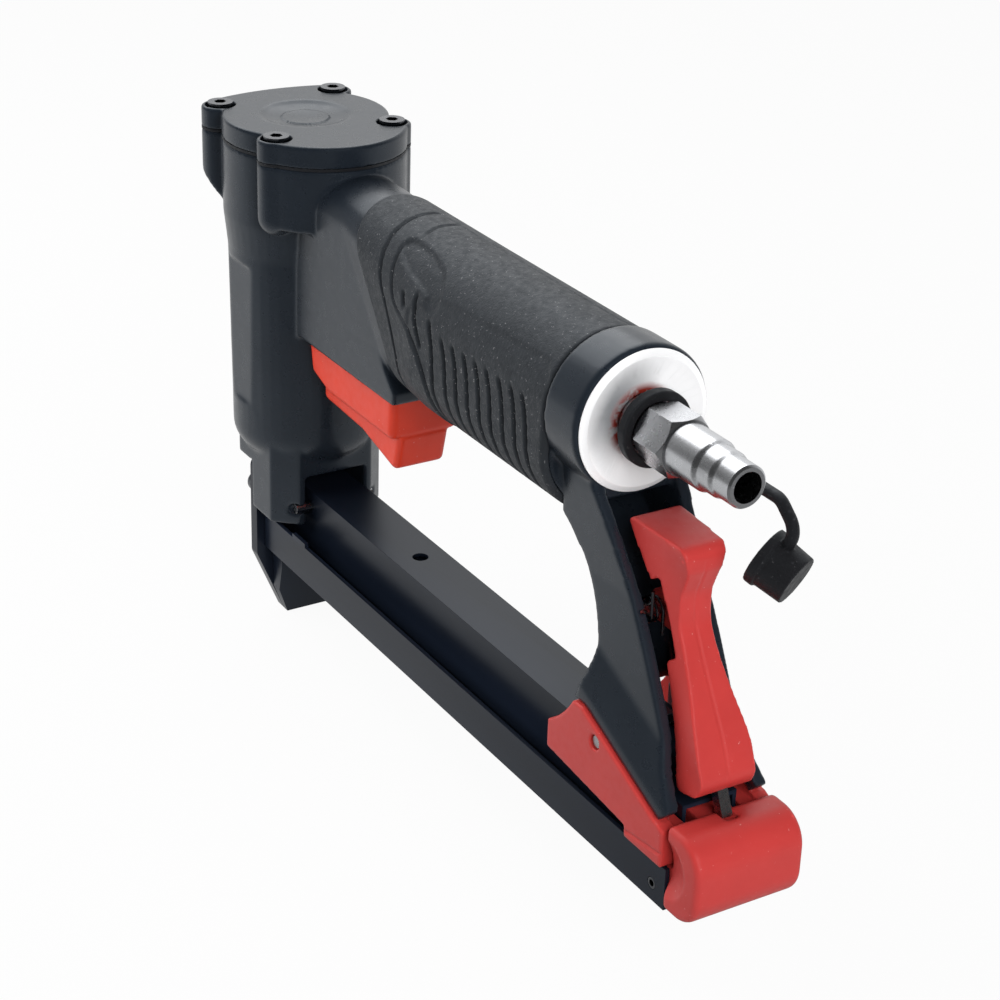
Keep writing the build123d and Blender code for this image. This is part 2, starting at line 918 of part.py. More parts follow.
def front_plate():
    top = rail_top + plate_rise
    face = outline(
        (-plate_tip_half, 0),
        (plate_tip_half, 0),
        (plate_half, plate_taper),
        (plate_half, top),
        (-plate_half, top),
        (-plate_half, plate_taper),
        radius=[0, 0, plate_corner_r, plate_corner_r, plate_corner_r, plate_corner_r],
    )
    front_x = -slot_half_t - plate_t
    plate = sheet_x(face, front_x, -slot_half_t)
    for side in (-1, 1):
        y = side * plate_screw_half
        hole = rod_x(plate_screw_d / 2 + sliding_gap, front_x, -slot_half_t, y, plate_screw_z())
        plate -= hole
        plate -= guide_screw(side, sliding_gap)
    return plate


def plate_screws():
    front_x = -slot_half_t - plate_t
    screws = []
    for side in (-1, 1):
        y = side * plate_screw_half
        shank = rod_x(plate_screw_d / 2, front_x, plate_screw_end(), y, plate_screw_z())
        head = rod_x(plate_screw_head_d / 2, front_x - plate_screw_head_h, front_x, y, plate_screw_z())
        dome = fillet(head.edges().group_by(Axis.X)[0], plate_screw_head_h / 2)
        screws.append(shank + dome)
    return Part(children=screws)


def guide_screw(side, grow):
    """A countersunk screw through the front plate into the guide."""
    front_x = -slot_half_t - plate_t
    shank_r = guide_screw_d / 2 + grow
    head_r_out = guide_screw_head_d / 2 + grow
    depth = head_r_out - shank_r
    place = Pos(front_x, side * guide_screw_half, guide_screw_z()) * Rot(0, 90, 0)
    cone = Cone(head_r_out, shank_r, depth, align=(Align.CENTER, Align.CENTER, Align.MIN))
    shank = Cylinder(shank_r, guide_screw_len, align=(Align.CENTER, Align.CENTER, Align.MIN))
    return place * (cone + shank)


def guide_screws():
    return Part(children=[guide_screw(side, 0) for side in (-1, 1)])


def nose_guide():
    top = channel_bottom - free_gap
    wedge = outline(
        (-slot_half_t, 0),
        (-slot_half_t + guide_tip_depth, 0),
        (-slot_half_t + guide_depth, guide_wedge),
        (-slot_half_t + guide_depth, top),
        (-slot_half_t, top),
    )
    face = outline(
        (-guide_tip_half, 0),
        (guide_tip_half, 0),
        (guide_half, guide_taper),
        (guide_half, top),
        (-guide_half, top),
        (-guide_half, guide_taper),
    )
    guide = slab(wedge, -guide_half, guide_half) & sheet_x(face, -slot_half_t, guide_depth)
    guide -= block((-slot_half_t, slot_half_t), (-slot_half, slot_half), (0, top))
    for side in (-1, 1):
        guide -= guide_screw(side, screw_gap)
    return guide


# Magazine


def fixed_magazine():
    end_x = toe_x
    rail = block((rail_front_x, end_x), (-rail_half, rail_half), (rail_top - rail_skirt, rail_top))
    rail -= block((rail_front_x, end_x), (-rail_inner, rail_inner), (rail_top - rail_skirt, rail_roof))
    rail -= rod_z(sight_hole_d / 2, rail_roof, rail_top, sight_hole_x)
    tail_x = (core_end_x - free_gap, end_x)
    rail -= block(tail_x, (-rail_half, rail_half), (rail_top - rail_skirt, wall_top + free_gap))
    lug_top = bracket_pin_z + pin_lug_wrap
    lug_x = (bracket_pin_x - lug_half_len, bracket_pin_x + lug_half_len)
    rail += both_sides(lug_x, rail_inner, rail_half, (rail_top, lug_top))
    rail -= rod_y(bracket_pin_d / 2 + running_gap, -rail_half, rail_half, bracket_pin_x, bracket_pin_z)
    return rail - rod_y(dowel_d / 2 + running_gap, -rail_half, rail_half, dowel_x, rail_top - dowel_drop)


def magazine_dowels():
    chamfer_y = block_half - (dowel_x - block_rear_x + block_chamfer)
    outer = chamfer_y - dowel_recess
    level = rail_top - dowel_drop
    right = rod_y(dowel_d / 2, rail_inner, outer, dowel_x, level)
    left = rod_y(dowel_d / 2, -outer, -rail_inner, dowel_x, level)
    return Part(children=[left, right])


def magazine_channel():
    inner = channel_half - channel_sheet
    front_x = -slot_half_t + sliding_gap
    channel = block((front_x, channel_end_x), (-channel_half, channel_half), (channel_bottom, wall_top))
    channel -= block((front_x, channel_end_x), (-inner, inner), (channel_floor, wall_top))
    channel -= block((front_x, slot_half_t), (-slot_half, slot_half), (channel_bottom, channel_floor))
    tab_x = (stop_tab_x, stop_tab_x + stop_tab_len)
    channel += both_sides(tab_x, inner, channel_half, (wall_top, wall_top + stop_tab_rise))
    pin_x = channel_end_x - roll_pin_setback
    pin_z = channel_bottom + roll_pin_rise
    return channel - rod_y(roll_pin_d / 2 + running_gap, -channel_half, channel_half, pin_x, pin_z)


def staple_core():
    inner = core_half - core_sheet
    roof = core_top - core_sheet
    core = block((core_front_x, core_end_x), (-core_half, core_half), (channel_floor, core_top))
    core -= block((core_front_x + core_bulkhead, core_end_x), (-inner, inner), (channel_floor, roof))
    slot_x = (core_front_x + core_bulkhead, core_end_x)
    core -= block(slot_x, (-core_slot_half, core_slot_half), (roof, core_top))
    return core - rod_x(rod_d / 2 + running_gap, core_front_x, core_front_x + core_bulkhead, 0, rod_z_level)


def pusher_rod():
    return rod_x(rod_d / 2, core_front_x, rod_end_x(), 0, rod_z_level)


def rod_end_x():
    return core_end_x + sliding_gap + tongue_block_len / 2


def pusher_lug_x():
    start = core_front_x + core_bulkhead + seat_gap
    return start, start + pusher_lug_len


def pusher():
    outer = core_half + seat_gap + pusher_sheet
    inner = core_half + seat_gap
    front_x = core_front_x + sliding_gap
    span = (front_x, front_x + pusher_len)
    saddle = block(span, (-outer, outer), (pusher_top - pusher_skirt, pusher_top))
    saddle -= block(span, (-inner, inner), (pusher_top - pusher_skirt, pusher_top - pusher_sheet))
    lug_x = pusher_lug_x()
    lug_half = core_half - core_sheet - seat_gap
    lug_z = (rod_z_level - pusher_lug_height / 2, rod_z_level + pusher_lug_height / 2)
    arm_z = (rod_z_level, pusher_top)
    solid = saddle + block(lug_x, (-pusher_arm_half, pusher_arm_half), arm_z)
    solid += block(lug_x, (-lug_half, lug_half), lug_z)
    return solid - rod_x(rod_d / 2 + running_gap, lug_x[0], lug_x[1], 0, rod_z_level)


def pusher_spring():
    start = pusher_lug_x()[1] + running_gap
    length = core_end_x + sliding_gap - running_gap - start
    spring = coil("pusher_spring", push_coil_d, push_wire_d, length, push_turns)
    return Pos(start, 0, rod_z_level) * Rot(0, 90, 0) * spring


def magazine_end_cap():
    front_x = channel_end_x + sliding_gap
    rear_x = front_x + end_cap_len
    bottom = channel_bottom + end_cap_rise
    top = rail_top - end_cap_top_drop
    side = outline(
        (front_x, bottom),
        (rear_x, bottom),
        (rear_x, top),
        (front_x, top),
        radius=[end_cap_edge_r, end_cap_r, end_cap_r, end_cap_edge_r],
    )
    cap = slab(side, -end_cap_half, end_cap_half)
    cap = fillet(cap.faces().sort_by(Axis.Y)[0].edges(), end_cap_edge_r)
    cap = fillet(cap.faces().sort_by(Axis.Y)[-1].edges(), end_cap_edge_r)
    scoop_y = end_cap_half + end_cap_scoop_r - end_cap_scoop
    scoop_z = (bottom + top) / 2
    for y in (-scoop_y, scoop_y):
        cap -= Pos(front_x, y, scoop_z) * Sphere(end_cap_scoop_r)
    slot_half_y = hook_plates * hook_plate_t / 2 + free_gap
    slot_z = hook_tip_z() - free_gap
    slot_end = channel_end_x + hook_depth + hook_run(top) + free_gap
    cap -= block((front_x, slot_end), (-slot_half_y, slot_half_y), (slot_z, top))
    inner = channel_half - channel_sheet - sliding_gap
    block_x = (core_end_x + sliding_gap, front_x + end_cap_edge_r)
    low_z = (channel_floor + running_gap, wall_top)
    cap += block(block_x, (-inner, inner), low_z)
    cap += block(block_x, (-tongue_block_half, tongue_block_half), (channel_floor + running_gap, core_top))
    cap -= rod_x(rod_d / 2 + running_gap, block_x[0], rod_end_x() + running_gap, 0, rod_z_level)
    pin_x = channel_end_x - roll_pin_setback
    pin_z = channel_bottom + roll_pin_rise
    return cap - rod_y(roll_pin_d / 2 + running_gap, -inner, inner, pin_x, pin_z)


def roll_pin():
    pin_x = channel_end_x - roll_pin_setback
    pin_z = channel_bottom + roll_pin_rise
    pin = rod_y(roll_pin_d / 2, -channel_half, channel_half, pin_x, pin_z)
    return pin - rod_y(roll_pin_bore_d / 2, -channel_half, channel_half, pin_x, pin_z)


# Rear bracket and latch


def wing_hollow():
    """The round hollow in the wings that carries on the end of the finger gap."""
    x = gap_end_x + wing_hollow_x - wing_hollow_r
    z = gap_centre_z + wing_hollow_z
    return rod_y(wing_hollow_r, -wing_half, wing_half, x, z)


def rear_bracket():
    step_x = bracket_end_x - wing_step_len
    front_x = foot_x - wing_front_setback
    low_z = rail_top - wing_low_drop
    step_z = wall_top + free_gap
    top_z = rail_top - bracket_top_drop
    side = outline(
        (front_x, rail_top - wing_front_drop),
        (step_x, low_z),
        (step_x, step_z),
        (bracket_end_x, step_z),
        (bracket_end_x, top_z),
        (slope_x, slope_z),
        (front_x, slope_z),
    )
    inner = tongue_half + sliding_gap
    wing = slab(side, inner, wing_half)
    floor_x = (front_x, toe_x - foot_cut)
    floor_z_span = (rail_top, rail_top + bracket_floor)
    rail_side = rail_half + seat_gap
    wing += block(floor_x, (rail_side, inner), floor_z_span)
    wing += block((step_x, bracket_end_x), (rail_side, inner), (step_z, top_z - seat_gap))
    wing &= slab(under_slope(sliding_gap), 0, wing_half)
    wing -= wing_hollow()
    wing -= rod_y(bracket_pin_d / 2 + running_gap, 0, wing_half, bracket_pin_x, bracket_pin_z)
    bridge_x = (front_x, bracket_pin_x - lug_half_len - seat_gap)
    bridge = block(bridge_x, (-rail_side, rail_side), floor_z_span) - wing_hollow()
    return wing + mirror(wing, Plane.XZ) + bridge


def bracket_pin():
    half = wing_half - wing_pin_recess
    return rod_y(bracket_pin_d / 2, -half, half, bracket_pin_x, bracket_pin_z)


def from_pin(shares):
    """Shares of the lever's length from the latch pin in X and Z, as places in side view."""
    return [(latch_x + lever_len * dx, latch_z + lever_len * dz) for dx, dz in shares]


def lever_profile():
    """Side view of the latch lever: places from its pin and corner radii, as shares of its length."""
    corners_in_view = [
        (-0.1588, 0.3560, 0.0175),
        (0.2182, 0.3455, 0.0524),
        (0.2182, 0.2478, 0.0698),
        (0.1710, 0.1257, 0.1396),
        (0.1780, -0.0087, 0.1571),
        (0.2513, -0.1449, 0.3490),
        (0.4188, -0.4241, 0.5236),
        (0.4764, -0.5672, 0.0698),
        (0.4380, -0.6300, 0.0279),
        (0.3316, -0.6440, 0.0279),
        (0.1466, -0.1623, 0.0524),
        (0.0000, 0.1518, 0.0349),
    ]
    points = from_pin([(dx, dz) for dx, dz, radius in corners_in_view])
    return outline(*points, radius=[lever_len * radius for dx, dz, radius in corners_in_view])


def lever_sides():
    """The space between the lever's side faces, waisted in height and narrower to the rear.

    Each level has its height from the pin, then its front and rear with their half-widths, as shares
    of the lever's length."""
    levels = [
        (0.4101, -0.1990, 0.1239, 0.2199, 0.0890),
        (0.2705, -0.0925, 0.1204, 0.2182, 0.0873),
        (0.1483, 0.0035, 0.1117, 0.1832, 0.0750),
        (-0.0436, 0.0908, 0.1047, 0.1990, 0.0768),
        (-0.1832, 0.1553, 0.1082, 0.2792, 0.0873),
        (-0.3229, 0.2094, 0.1134, 0.3630, 0.1134),
        (-0.4974, 0.2757, 0.1291, 0.4503, 0.1344),
        (-0.6719, 0.3421, 0.1501, 0.4991, 0.1518),
    ]
    sections = []
    for level in levels:
        dz, front, front_half, rear, rear_half = [lever_len * share for share in level]
        grow = lever_side_margin * (rear_half - front_half) / (rear - front)
        x0 = latch_x + front - lever_side_margin
        x1 = latch_x + rear + lever_side_margin
        half0 = front_half - grow
        half1 = rear_half + grow
        face = outline((x0, -half0), (x1, -half1), (x1, half1), (x0, half0))
        sections.append(Pos(0, 0, latch_z + dz) * face)
    return loft(sections)


def lever_notch():
    """The cut in each side of the lever's front that clears the torsion spring."""
    return outline(
        *from_pin([
            (0.1850, -0.1361),
            (0.1291, -0.1728),
            (-0.0105, 0.1257),
            (0.0524, 0.1623),
        ])
    )


def hook_tip_z():
    return pusher_top + seat_gap


def hook_run(top):
    """How far back the hook goes while the lever lifts its tip to the given level."""
    return (top - hook_tip_z()) * (latch_z - hook_tip_z()) / (channel_end_x - latch_x)


def hook_profile():
    tip = hook_tip_z()
    root = tip + hook_height
    return outline(
        (channel_end_x, tip),
        (channel_end_x + hook_depth, tip),
        (channel_end_x + hook_depth - hook_lean, root),
        (channel_end_x - hook_lean, root),
    )


def latch_lever():
    lever = slab(lever_profile(), -leg_half, leg_half) & lever_sides()
    lever -= slab(lever_notch(), lever_hub_half, leg_half)
    lever -= slab(lever_notch(), -leg_half, -lever_hub_half)
    hub_z = (latch_z - lever_hub_r, latch_z + lever_hub_r)
    lever += rod_y(lever_hub_r, -lever_hub_half, lever_hub_half, latch_x, latch_z)
    lever += block((latch_x, latch_x + lever_hub_reach), (-lever_hub_half, lever_hub_half), hub_z)
    lever -= rod_y(latch_pin_d / 2 + running_gap, -lever_hub_half, lever_hub_half, latch_x, latch_z)
    stack_half = hook_plates * hook_plate_t / 2
    return lever - slab(hook_profile(), -stack_half, stack_half)


def hook_leaves():
    stack_half = hook_plates * hook_plate_t / 2
    leaves = []
    for index in range(hook_plates):
        y0 = -stack_half + index * hook_plate_t
        leaves.append(slab(hook_profile(), y0, y0 + hook_plate_t))
    return Part(children=leaves)


def latch_pin():
    half = leg_inner + latch_pin_sink - running_gap
    return rod_y(latch_pin_d / 2, -half, half, latch_x, latch_z)


def latch_spring():
    """A torsion spring on the pin's left, one leg to the body's web and one in the lever's notch."""
    room = leg_inner - lever_hub_half - 2 * free_gap
    run = room - torsion_wire_d
    radius = torsion_coil_d / 2
    report_gap("latch_spring", run, torsion_turns, torsion_wire_d, torsion_coil_d)
    turns = coil_edges(torsion_coil_d, run, torsion_turns)
    last = turns[-1]
    first_leg = Line((radius, -torsion_leg, 0), (radius, 0, 0))
    last_leg = Line(last @ 1, Vector(radius, torsion_leg, run))
    wire = tube([first_leg] + turns + [last_leg], torsion_wire_d)
    start_y = -lever_hub_half - free_gap - torsion_wire_d / 2
    return Pos(latch_x, start_y, latch_z) * Rot(90, 0, 0) * wire


# Trigger


def trigger():
    top = housing_z + trigger_tuck
    band = outline(
        (trigger_front_x, top),
        (trigger_front_x + trigger_corner_r, housing_z - trigger_notch_drop + trigger_shelf_drop),
        (trigger_notch_x, housing_z - trigger_notch_drop),
        (trigger_rear_x - trigger_corner_r / 2, housing_z - trigger_step_drop),
        (trigger_rear_x, top),
        radius=[0, trigger_corner_r, trigger_corner_r, trigger_corner_r, 0],
    )
    pad = outline(
        (trigger_pad_front_x, housing_z - trigger_shelf_drop - trigger_corner_r),
        (trigger_pad_front_x, housing_z - trigger_pad_front_drop),
        (trigger_pad_bend_x, housing_z - trigger_pad_bend_drop),
        (trigger_pad_end_x, housing_z - trigger_pad_drop),
        (trigger_rear_x - trigger_corner_r / 2, housing_z - trigger_step_drop),
        radius=[0, trigger_corner_r, 2 * trigger_corner_r, trigger_corner_r, 0],
    )
    solid = slab(band, -trigger_half, trigger_half)
    rear_corners = solid.faces().sort_by(Axis.X)[-1].edges().group_by(Axis.Y)
    solid = fillet(rear_corners[0] + rear_corners[-1], trigger_corner_r)
    grip = slab(pad, -trigger_pad_half, trigger_pad_half)
    for side in (0, -1):
        rim = grip.edges().group_by(Axis.Y)[side].sort_by(Axis.Z)
        grip = fillet(rim[:-1], trigger_edge_r)
    solid += grip
    inside = (-trigger_inner, trigger_inner)
    fork_x = (trigger_front_x - trigger_side, trigger_notch_x)
    solid -= block(fork_x, inside, (trigger_z - lug_r - free_gap, top))
    solid -= block((trigger_notch_x, trigger_rear_x - trigger_side), inside, (shelf_z, top))
    pin_half = trigger_inner + trigger_side / 2
    return solid - rod_y(trigger_pin_d / 2 + running_gap, -pin_half, pin_half, trigger_pivot_x, trigger_z)


def trigger_pin():
    half = trigger_inner + trigger_side / 2 - running_gap
    return rod_y(trigger_pin_d / 2, -half, half, trigger_pivot_x, trigger_z)


def valve_head_z():
    return valve_bottom + valve_floor


def trigger_valve():
    body = rod_z(valve_d / 2, valve_bottom, valve_top, valve_x)
    body -= rod_z(stem_d / 2 + running_gap, valve_bottom, valve_head_z(), valve_x)
    return body - rod_z(valve_chamber_d / 2, valve_head_z(), valve_top - stem_head_h, valve_x)


def valve_stem():
    head = valve_head_z() + sliding_gap
    stem = rod_z(stem_d / 2, stem_bottom, head, valve_x)
    return stem + rod_z(stem_head_d / 2, head, head + stem_head_h, valve_x)


def valve_spring():
    seat = valve_head_z() + sliding_gap + stem_head_h + running_gap
    length = valve_top - stem_head_h - running_gap - seat
    spring = coil("valve_spring", valve_coil_d, valve_wire_d, length, valve_turns)
    return Pos(valve_x, 0, seat) * spring


# Air inlet


def inlet_end_cap():
    spigot_r = inlet_spigot_d / 2
    flange_r = inlet_flange_d / 2
    spigot_x = collar_end_x - inlet_spigot_len
    dish_x = inlet_face_x - inlet_dish
    solid = turned_x(
        (spigot_x, thread_d / 2 + screw_gap),
        (spigot_x, spigot_r),
        (collar_end_x, spigot_r),
        (collar_end_x, flange_r),
        (inlet_face_x - inlet_rim / 2, flange_r),
        (inlet_face_x, flange_r - inlet_rim),
        (dish_x, inlet_dish_d / 2),
        (dish_x, thread_d / 2 + screw_gap),
    )
    solid -= rod_x(inlet_cavity_d / 2, spigot_x, spigot_x + inlet_cavity_len, 0, axis_z)
    ring_x = collar_end_x - inlet_ring_setback
    groove_half = inlet_ring_d / 2 + running_gap
    groove = rod_x(spigot_r, ring_x - groove_half, ring_x + groove_half, 0, axis_z)
    groove -= rod_x(spigot_r - inlet_ring_d, ring_x - groove_half, ring_x + groove_half, 0, axis_z)
    return solid - groove


def inlet_ring():
    section_r = inlet_ring_d / 2
    ring_x = collar_end_x - inlet_ring_setback
    return Pos(ring_x, 0, axis_z) * Rot(0, 90, 0) * Torus(inlet_spigot_d / 2 - section_r, section_r)


def ring_x0():
    return inlet_face_x - inlet_dish + cap_ring_standoff


def hex_x():
    return ring_x0() + cap_ring_t + seat_gap


def air_plug():
    """Thread, chamfered hexagon, barrel, land and tip in steps joined by cones, bored through."""
    start = inlet_face_x - inlet_dish - thread_len
    barrel_x = hex_x() + hex_len
    cone_x = barrel_x + plug_barrel_len
    land_x = cone_x + plug_cone_len
    step_x = land_x + plug_land_len
    tip_x = step_x + plug_cone_len
    end_x = plug_end_x()
    bore_r = plug_bore_d / 2
    solid = turned_x(
        (start, bore_r),
        (start, thread_d / 2),
        (barrel_x, thread_d / 2),
        (barrel_x, plug_barrel_d / 2),
        (cone_x, plug_barrel_d / 2),
        (land_x, plug_land_d / 2),
        (step_x, plug_land_d / 2),
        (tip_x, plug_tip_d / 2),
        (end_x - plug_rim, plug_tip_d / 2),
        (end_x, plug_tip_d / 2 - plug_rim),
        (end_x, bore_r),
    )
    corner_r = hex_af / sqrt(3)
    nut = Pos(0, 0, axis_z) * sheet_x(RegularPolygon(corner_r, 6), hex_x(), barrel_x)
    nut &= turned_x(
        (hex_x(), bore_r),
        (hex_x(), corner_r - hex_chamfer),
        (hex_x() + hex_chamfer, corner_r),
        (barrel_x - hex_chamfer, corner_r),
        (barrel_x, corner_r - hex_chamfer),
        (barrel_x, bore_r),
    )
    return solid + nut


def plug_end_x():
    barrel_end = hex_x() + hex_len + plug_barrel_len
    return barrel_end + 2 * plug_cone_len + plug_land_len + plug_tip_len


def dust_way():
    """The direction from the dust cap's mouth to its closed end."""
    yaw = dust_yaw * pi / 180
    pitch = dust_pitch * pi / 180
    return Vector(cos(pitch) * cos(yaw), cos(pitch) * sin(yaw), -sin(pitch))


def dust_mouth():
    centre = Vector(plug_end_x() - dust_setback, strap_side, axis_z - dust_drop)
    return Plane(origin=centre - dust_way() * (dust_len / 2), z_dir=dust_way())


def strap():
    """A round strap from the ring, back along the plug and down to the dust cap."""
    middle_x = ring_x0() + cap_ring_t / 2
    reach = hypot(strap_side, strap_drop)
    root = (cap_ring_d / 2 - strap_d / 2) / reach
    strap_z = axis_z - strap_drop
    turn_x = plug_end_x() - strap_turn
    end_x = plug_end_x() + strap_reach
    wall = (plug_tip_d / 2 + sliding_gap + dust_end_d / 2) / 2
    path = FilletPolyline(
        (middle_x, strap_side * root, axis_z - strap_drop * root),
        (middle_x, strap_side, strap_z),
        (turn_x, strap_side, strap_z),
        (end_x, strap_side, strap_z - strap_fall),
        (plug_end_x(), strap_side, axis_z - dust_drop + wall),
        radius=[strap_bend_r, strap_low_bend_r, strap_low_bend_r],
    )
    return sweep(Plane(path @ 0, z_dir=path % 0) * Circle(strap_d / 2), path=path)


def dust_cap():
    """Ring on the plug's neck, strap, and the cap hanging beside the plug's tip."""
    ring_x1 = ring_x0() + cap_ring_t
    from_mouth = (Align.CENTER, Align.CENTER, Align.MIN)
    shell = dust_mouth() * Cone(dust_mouth_d / 2, dust_end_d / 2, dust_len, align=from_mouth)
    shell += dust_mouth() * Cylinder(dust_lip_d / 2, dust_lip_len, align=from_mouth)
    moulding = rod_x(cap_ring_d / 2, ring_x0(), ring_x1, 0, axis_z) + strap() + shell
    moulding -= rod_x(thread_d / 2 + seat_gap, ring_x0(), ring_x1, 0, axis_z)
    bore_r = plug_tip_d / 2 + sliding_gap
    return moulding - dust_mouth() * Cylinder(bore_r, dust_len - dust_end_t, align=from_mouth)


def grip_sleeve():
    outer = handle_form(grip_lip, grip_t, grip_end_x)
    sleeve = outer - handle_form(grip_fit, grip_fit, grip_end_x)
    return split(sleeve, slanted_plane(rubber_front_x, rubber_foot_x), keep=Keep.TOP)


pieces = [
    main_body,
    cylinder_cap,
    cap_gasket,
    cap_screws,
    cylinder_sleeve,
    bumper,
    piston,
    piston_ring,
    driver_blade,
    head_valve,
    head_valve_spring,
    front_plate,
    plate_screws,
    nose_guide,
    guide_screws,
    fixed_magazine,
    magazine_dowels,
    magazine_channel,
    staple_core,
    pusher,
    pusher_rod,
    pusher_spring,
    magazine_end_cap,
    roll_pin,
    rear_bracket,
    bracket_pin,
    latch_lever,
    hook_leaves,
    latch_pin,
    latch_spring,
    trigger,
    trigger_pin,
    trigger_valve,
    valve_stem,
    valve_spring,
    grip_sleeve,
    inlet_end_cap,
    inlet_ring,
    air_plug,
    dust_cap,
]

os.makedirs("parts", exist_ok=True)
for piece in pieces:
    export_step(piece(), f"parts/{piece.__name__}.step")
print("driver stroke", round(driver_stroke, 3))
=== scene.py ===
"""Looks of a pneumatic stapler, laid out as an add-on and run as a script."""
import math

import bpy
import numpy as np
from bpy.props import FloatProperty, FloatVectorProperty, IntProperty, PointerProperty
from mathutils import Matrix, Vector, kdtree


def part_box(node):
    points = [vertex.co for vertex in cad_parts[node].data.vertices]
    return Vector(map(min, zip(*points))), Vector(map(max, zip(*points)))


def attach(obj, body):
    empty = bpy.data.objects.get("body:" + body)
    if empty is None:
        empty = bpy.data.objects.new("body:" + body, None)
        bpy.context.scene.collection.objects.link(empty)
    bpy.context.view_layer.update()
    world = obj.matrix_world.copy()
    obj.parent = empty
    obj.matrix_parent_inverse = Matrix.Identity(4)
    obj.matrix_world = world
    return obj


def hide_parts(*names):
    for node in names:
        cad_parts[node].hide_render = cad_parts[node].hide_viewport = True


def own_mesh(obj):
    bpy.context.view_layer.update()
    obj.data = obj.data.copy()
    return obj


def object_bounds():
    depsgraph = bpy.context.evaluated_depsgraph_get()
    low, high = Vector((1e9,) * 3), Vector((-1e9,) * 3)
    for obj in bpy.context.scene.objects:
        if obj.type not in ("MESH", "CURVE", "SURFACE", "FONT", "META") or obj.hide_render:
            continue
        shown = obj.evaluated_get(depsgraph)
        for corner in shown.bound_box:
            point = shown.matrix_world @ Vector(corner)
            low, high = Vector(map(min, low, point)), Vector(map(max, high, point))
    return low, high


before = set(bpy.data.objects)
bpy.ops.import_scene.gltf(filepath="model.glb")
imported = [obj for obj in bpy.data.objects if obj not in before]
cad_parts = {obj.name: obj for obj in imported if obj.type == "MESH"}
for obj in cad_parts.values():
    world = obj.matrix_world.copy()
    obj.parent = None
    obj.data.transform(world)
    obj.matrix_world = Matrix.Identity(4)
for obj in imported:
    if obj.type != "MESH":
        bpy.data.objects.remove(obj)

bl_info = {
    "name": "Pneumatic stapler",
    "version": (1, 0, 0),
    "blender": (4, 5, 0),
    "location": "3D View > Sidebar > Stapler",
    "description": "Dresses the packed pneumatic stapler and sets its stage",
    "category": "Object",
}

MM = 0.001
WELD = 1e-6
FLAT_ANGLE = math.radians(0.5)
EDGE_ANGLE = math.radians(40)
SMOOTH_ANGLE = math.radians(35)
MOST_TRIANGLES = 180000
SMALL_PIECE_TRIANGLES = 120000
CAD_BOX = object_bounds()


def vector(name, description, value, **kind):
    return FloatVectorProperty(name=name, description=description, default=value, size=len(value), **kind)


def colour(name, description, value):
    return vector(name, description, value, subtype="COLOR", min=0.0, max=1.0)


def length(name, description, value):
    return FloatProperty(
        name=name, description=description, default=value * MM, unit="LENGTH", precision=5
    )


def amount(name, description, value, unit="NONE"):
    return FloatProperty(name=name, description=description, default=value, unit=unit)


def whole(name, description, value):
    return IntProperty(name=name, description=description, default=value)


class StaplerFinish(bpy.types.PropertyGroup):
    """Colours of the stapler's finishes."""

    casting: colour("Casting", "Satin charcoal coat on the die castings", (0.010, 0.0135, 0.019))
    sheet: colour("Sheet", "Black coat on the magazine's sheet metal", (0.0045, 0.0065, 0.0115))
    oxide: colour("Black oxide", "Black oxide on the screws and pins", (0.105, 0.110, 0.120))
    trigger_red: colour("Trigger red", "Orange red of the moulded trigger", (0.62, 0.036, 0.012))
    latch_red: colour("Latch red", "Red of the lever, bracket and end cap", (0.42, 0.034, 0.031))
    grip: colour("Grip", "Grained rubber of the handle sleeve", (0.017, 0.019, 0.022))
    rubber: colour("Rubber", "Smooth black rubber of the dust cap and rings", (0.008, 0.008, 0.009))
    steel: colour("Steel", "Ground steel of pins, driver and hook", (0.46, 0.46, 0.47))
    wire: colour("Spring wire", "Drawn wire of the springs", (0.30, 0.30, 0.31))
    aluminium: colour("Aluminium", "Turned aluminium of the inlet disc", (0.97, 0.97, 0.98))
    plated: colour("Plated steel", "Bright plating on the air plug", (0.58, 0.59, 0.61))
    brass: colour("Brass", "Turned brass of the trigger valve", (0.62, 0.42, 0.16))
    white: colour("White plastic", "Moulded head valve", (0.74, 0.73, 0.69))
    amber: colour("Amber rubber", "Bumper under the piston", (0.36, 0.19, 0.05))
    sealant: colour("Sealant", "Red thread sealant round the air plug", (0.26, 0.022, 0.012))


class StaplerEdges(bpy.types.PropertyGroup):
    """How finely and how far the edges of the pieces are rounded."""

    casting_grid: length("Casting grid", "Grid on which the casting's edges are rounded", 0.55)
    casting_passes: whole("Casting passes", "Smoothing passes on the casting", 7)
    cap_passes: whole("Cap passes", "Smoothing passes on the cap", 4)
    plastic_grid: length("Plastic grid", "Grid on which moulded edges are rounded", 0.36)
    plastic_passes: whole("Plastic passes", "Smoothing passes on plastics", 6)
    rubber_grid: length("Rubber grid", "Grid on which rubber edges are rounded", 0.28)
    bumper_grid: length("Bumper grid", "Grid on which the bumper's edges are rounded", 0.4)
    rubber_passes: whole("Rubber passes", "Smoothing passes on rubber", 5)
    gasket_bevel: length("Gasket bevel", "Broken edge on the gasket", 0.2)
    disc_bevel: length("Disc bevel", "Broken edge on the inlet disc", 0.3)
    plug_bevel: length("Plug bevel", "Broken edge on the air plug", 0.3)
    sheet_bevel: length("Sheet bevel", "Broken edge on the sheet metal", 0.25)
    screw_bevel: length("Screw bevel", "Broken edge on the screws", 0.18)
    dish_reach: length("Dish reach", "Radius of the dish in the cap's top", 14.0)
    dish_depth: length("Dish depth", "Depth of the dish in the cap's top", 0.35)
    pin_ring: length("Pin ring", "Radius of the ring pressed round the bracket's pin", 1.75)
    seam_half: length("Seam half-width", "Half-width of the lever's parting line", 0.42)
    seam_depth: length("Seam depth", "Depth of the lever's parting line", 0.16)


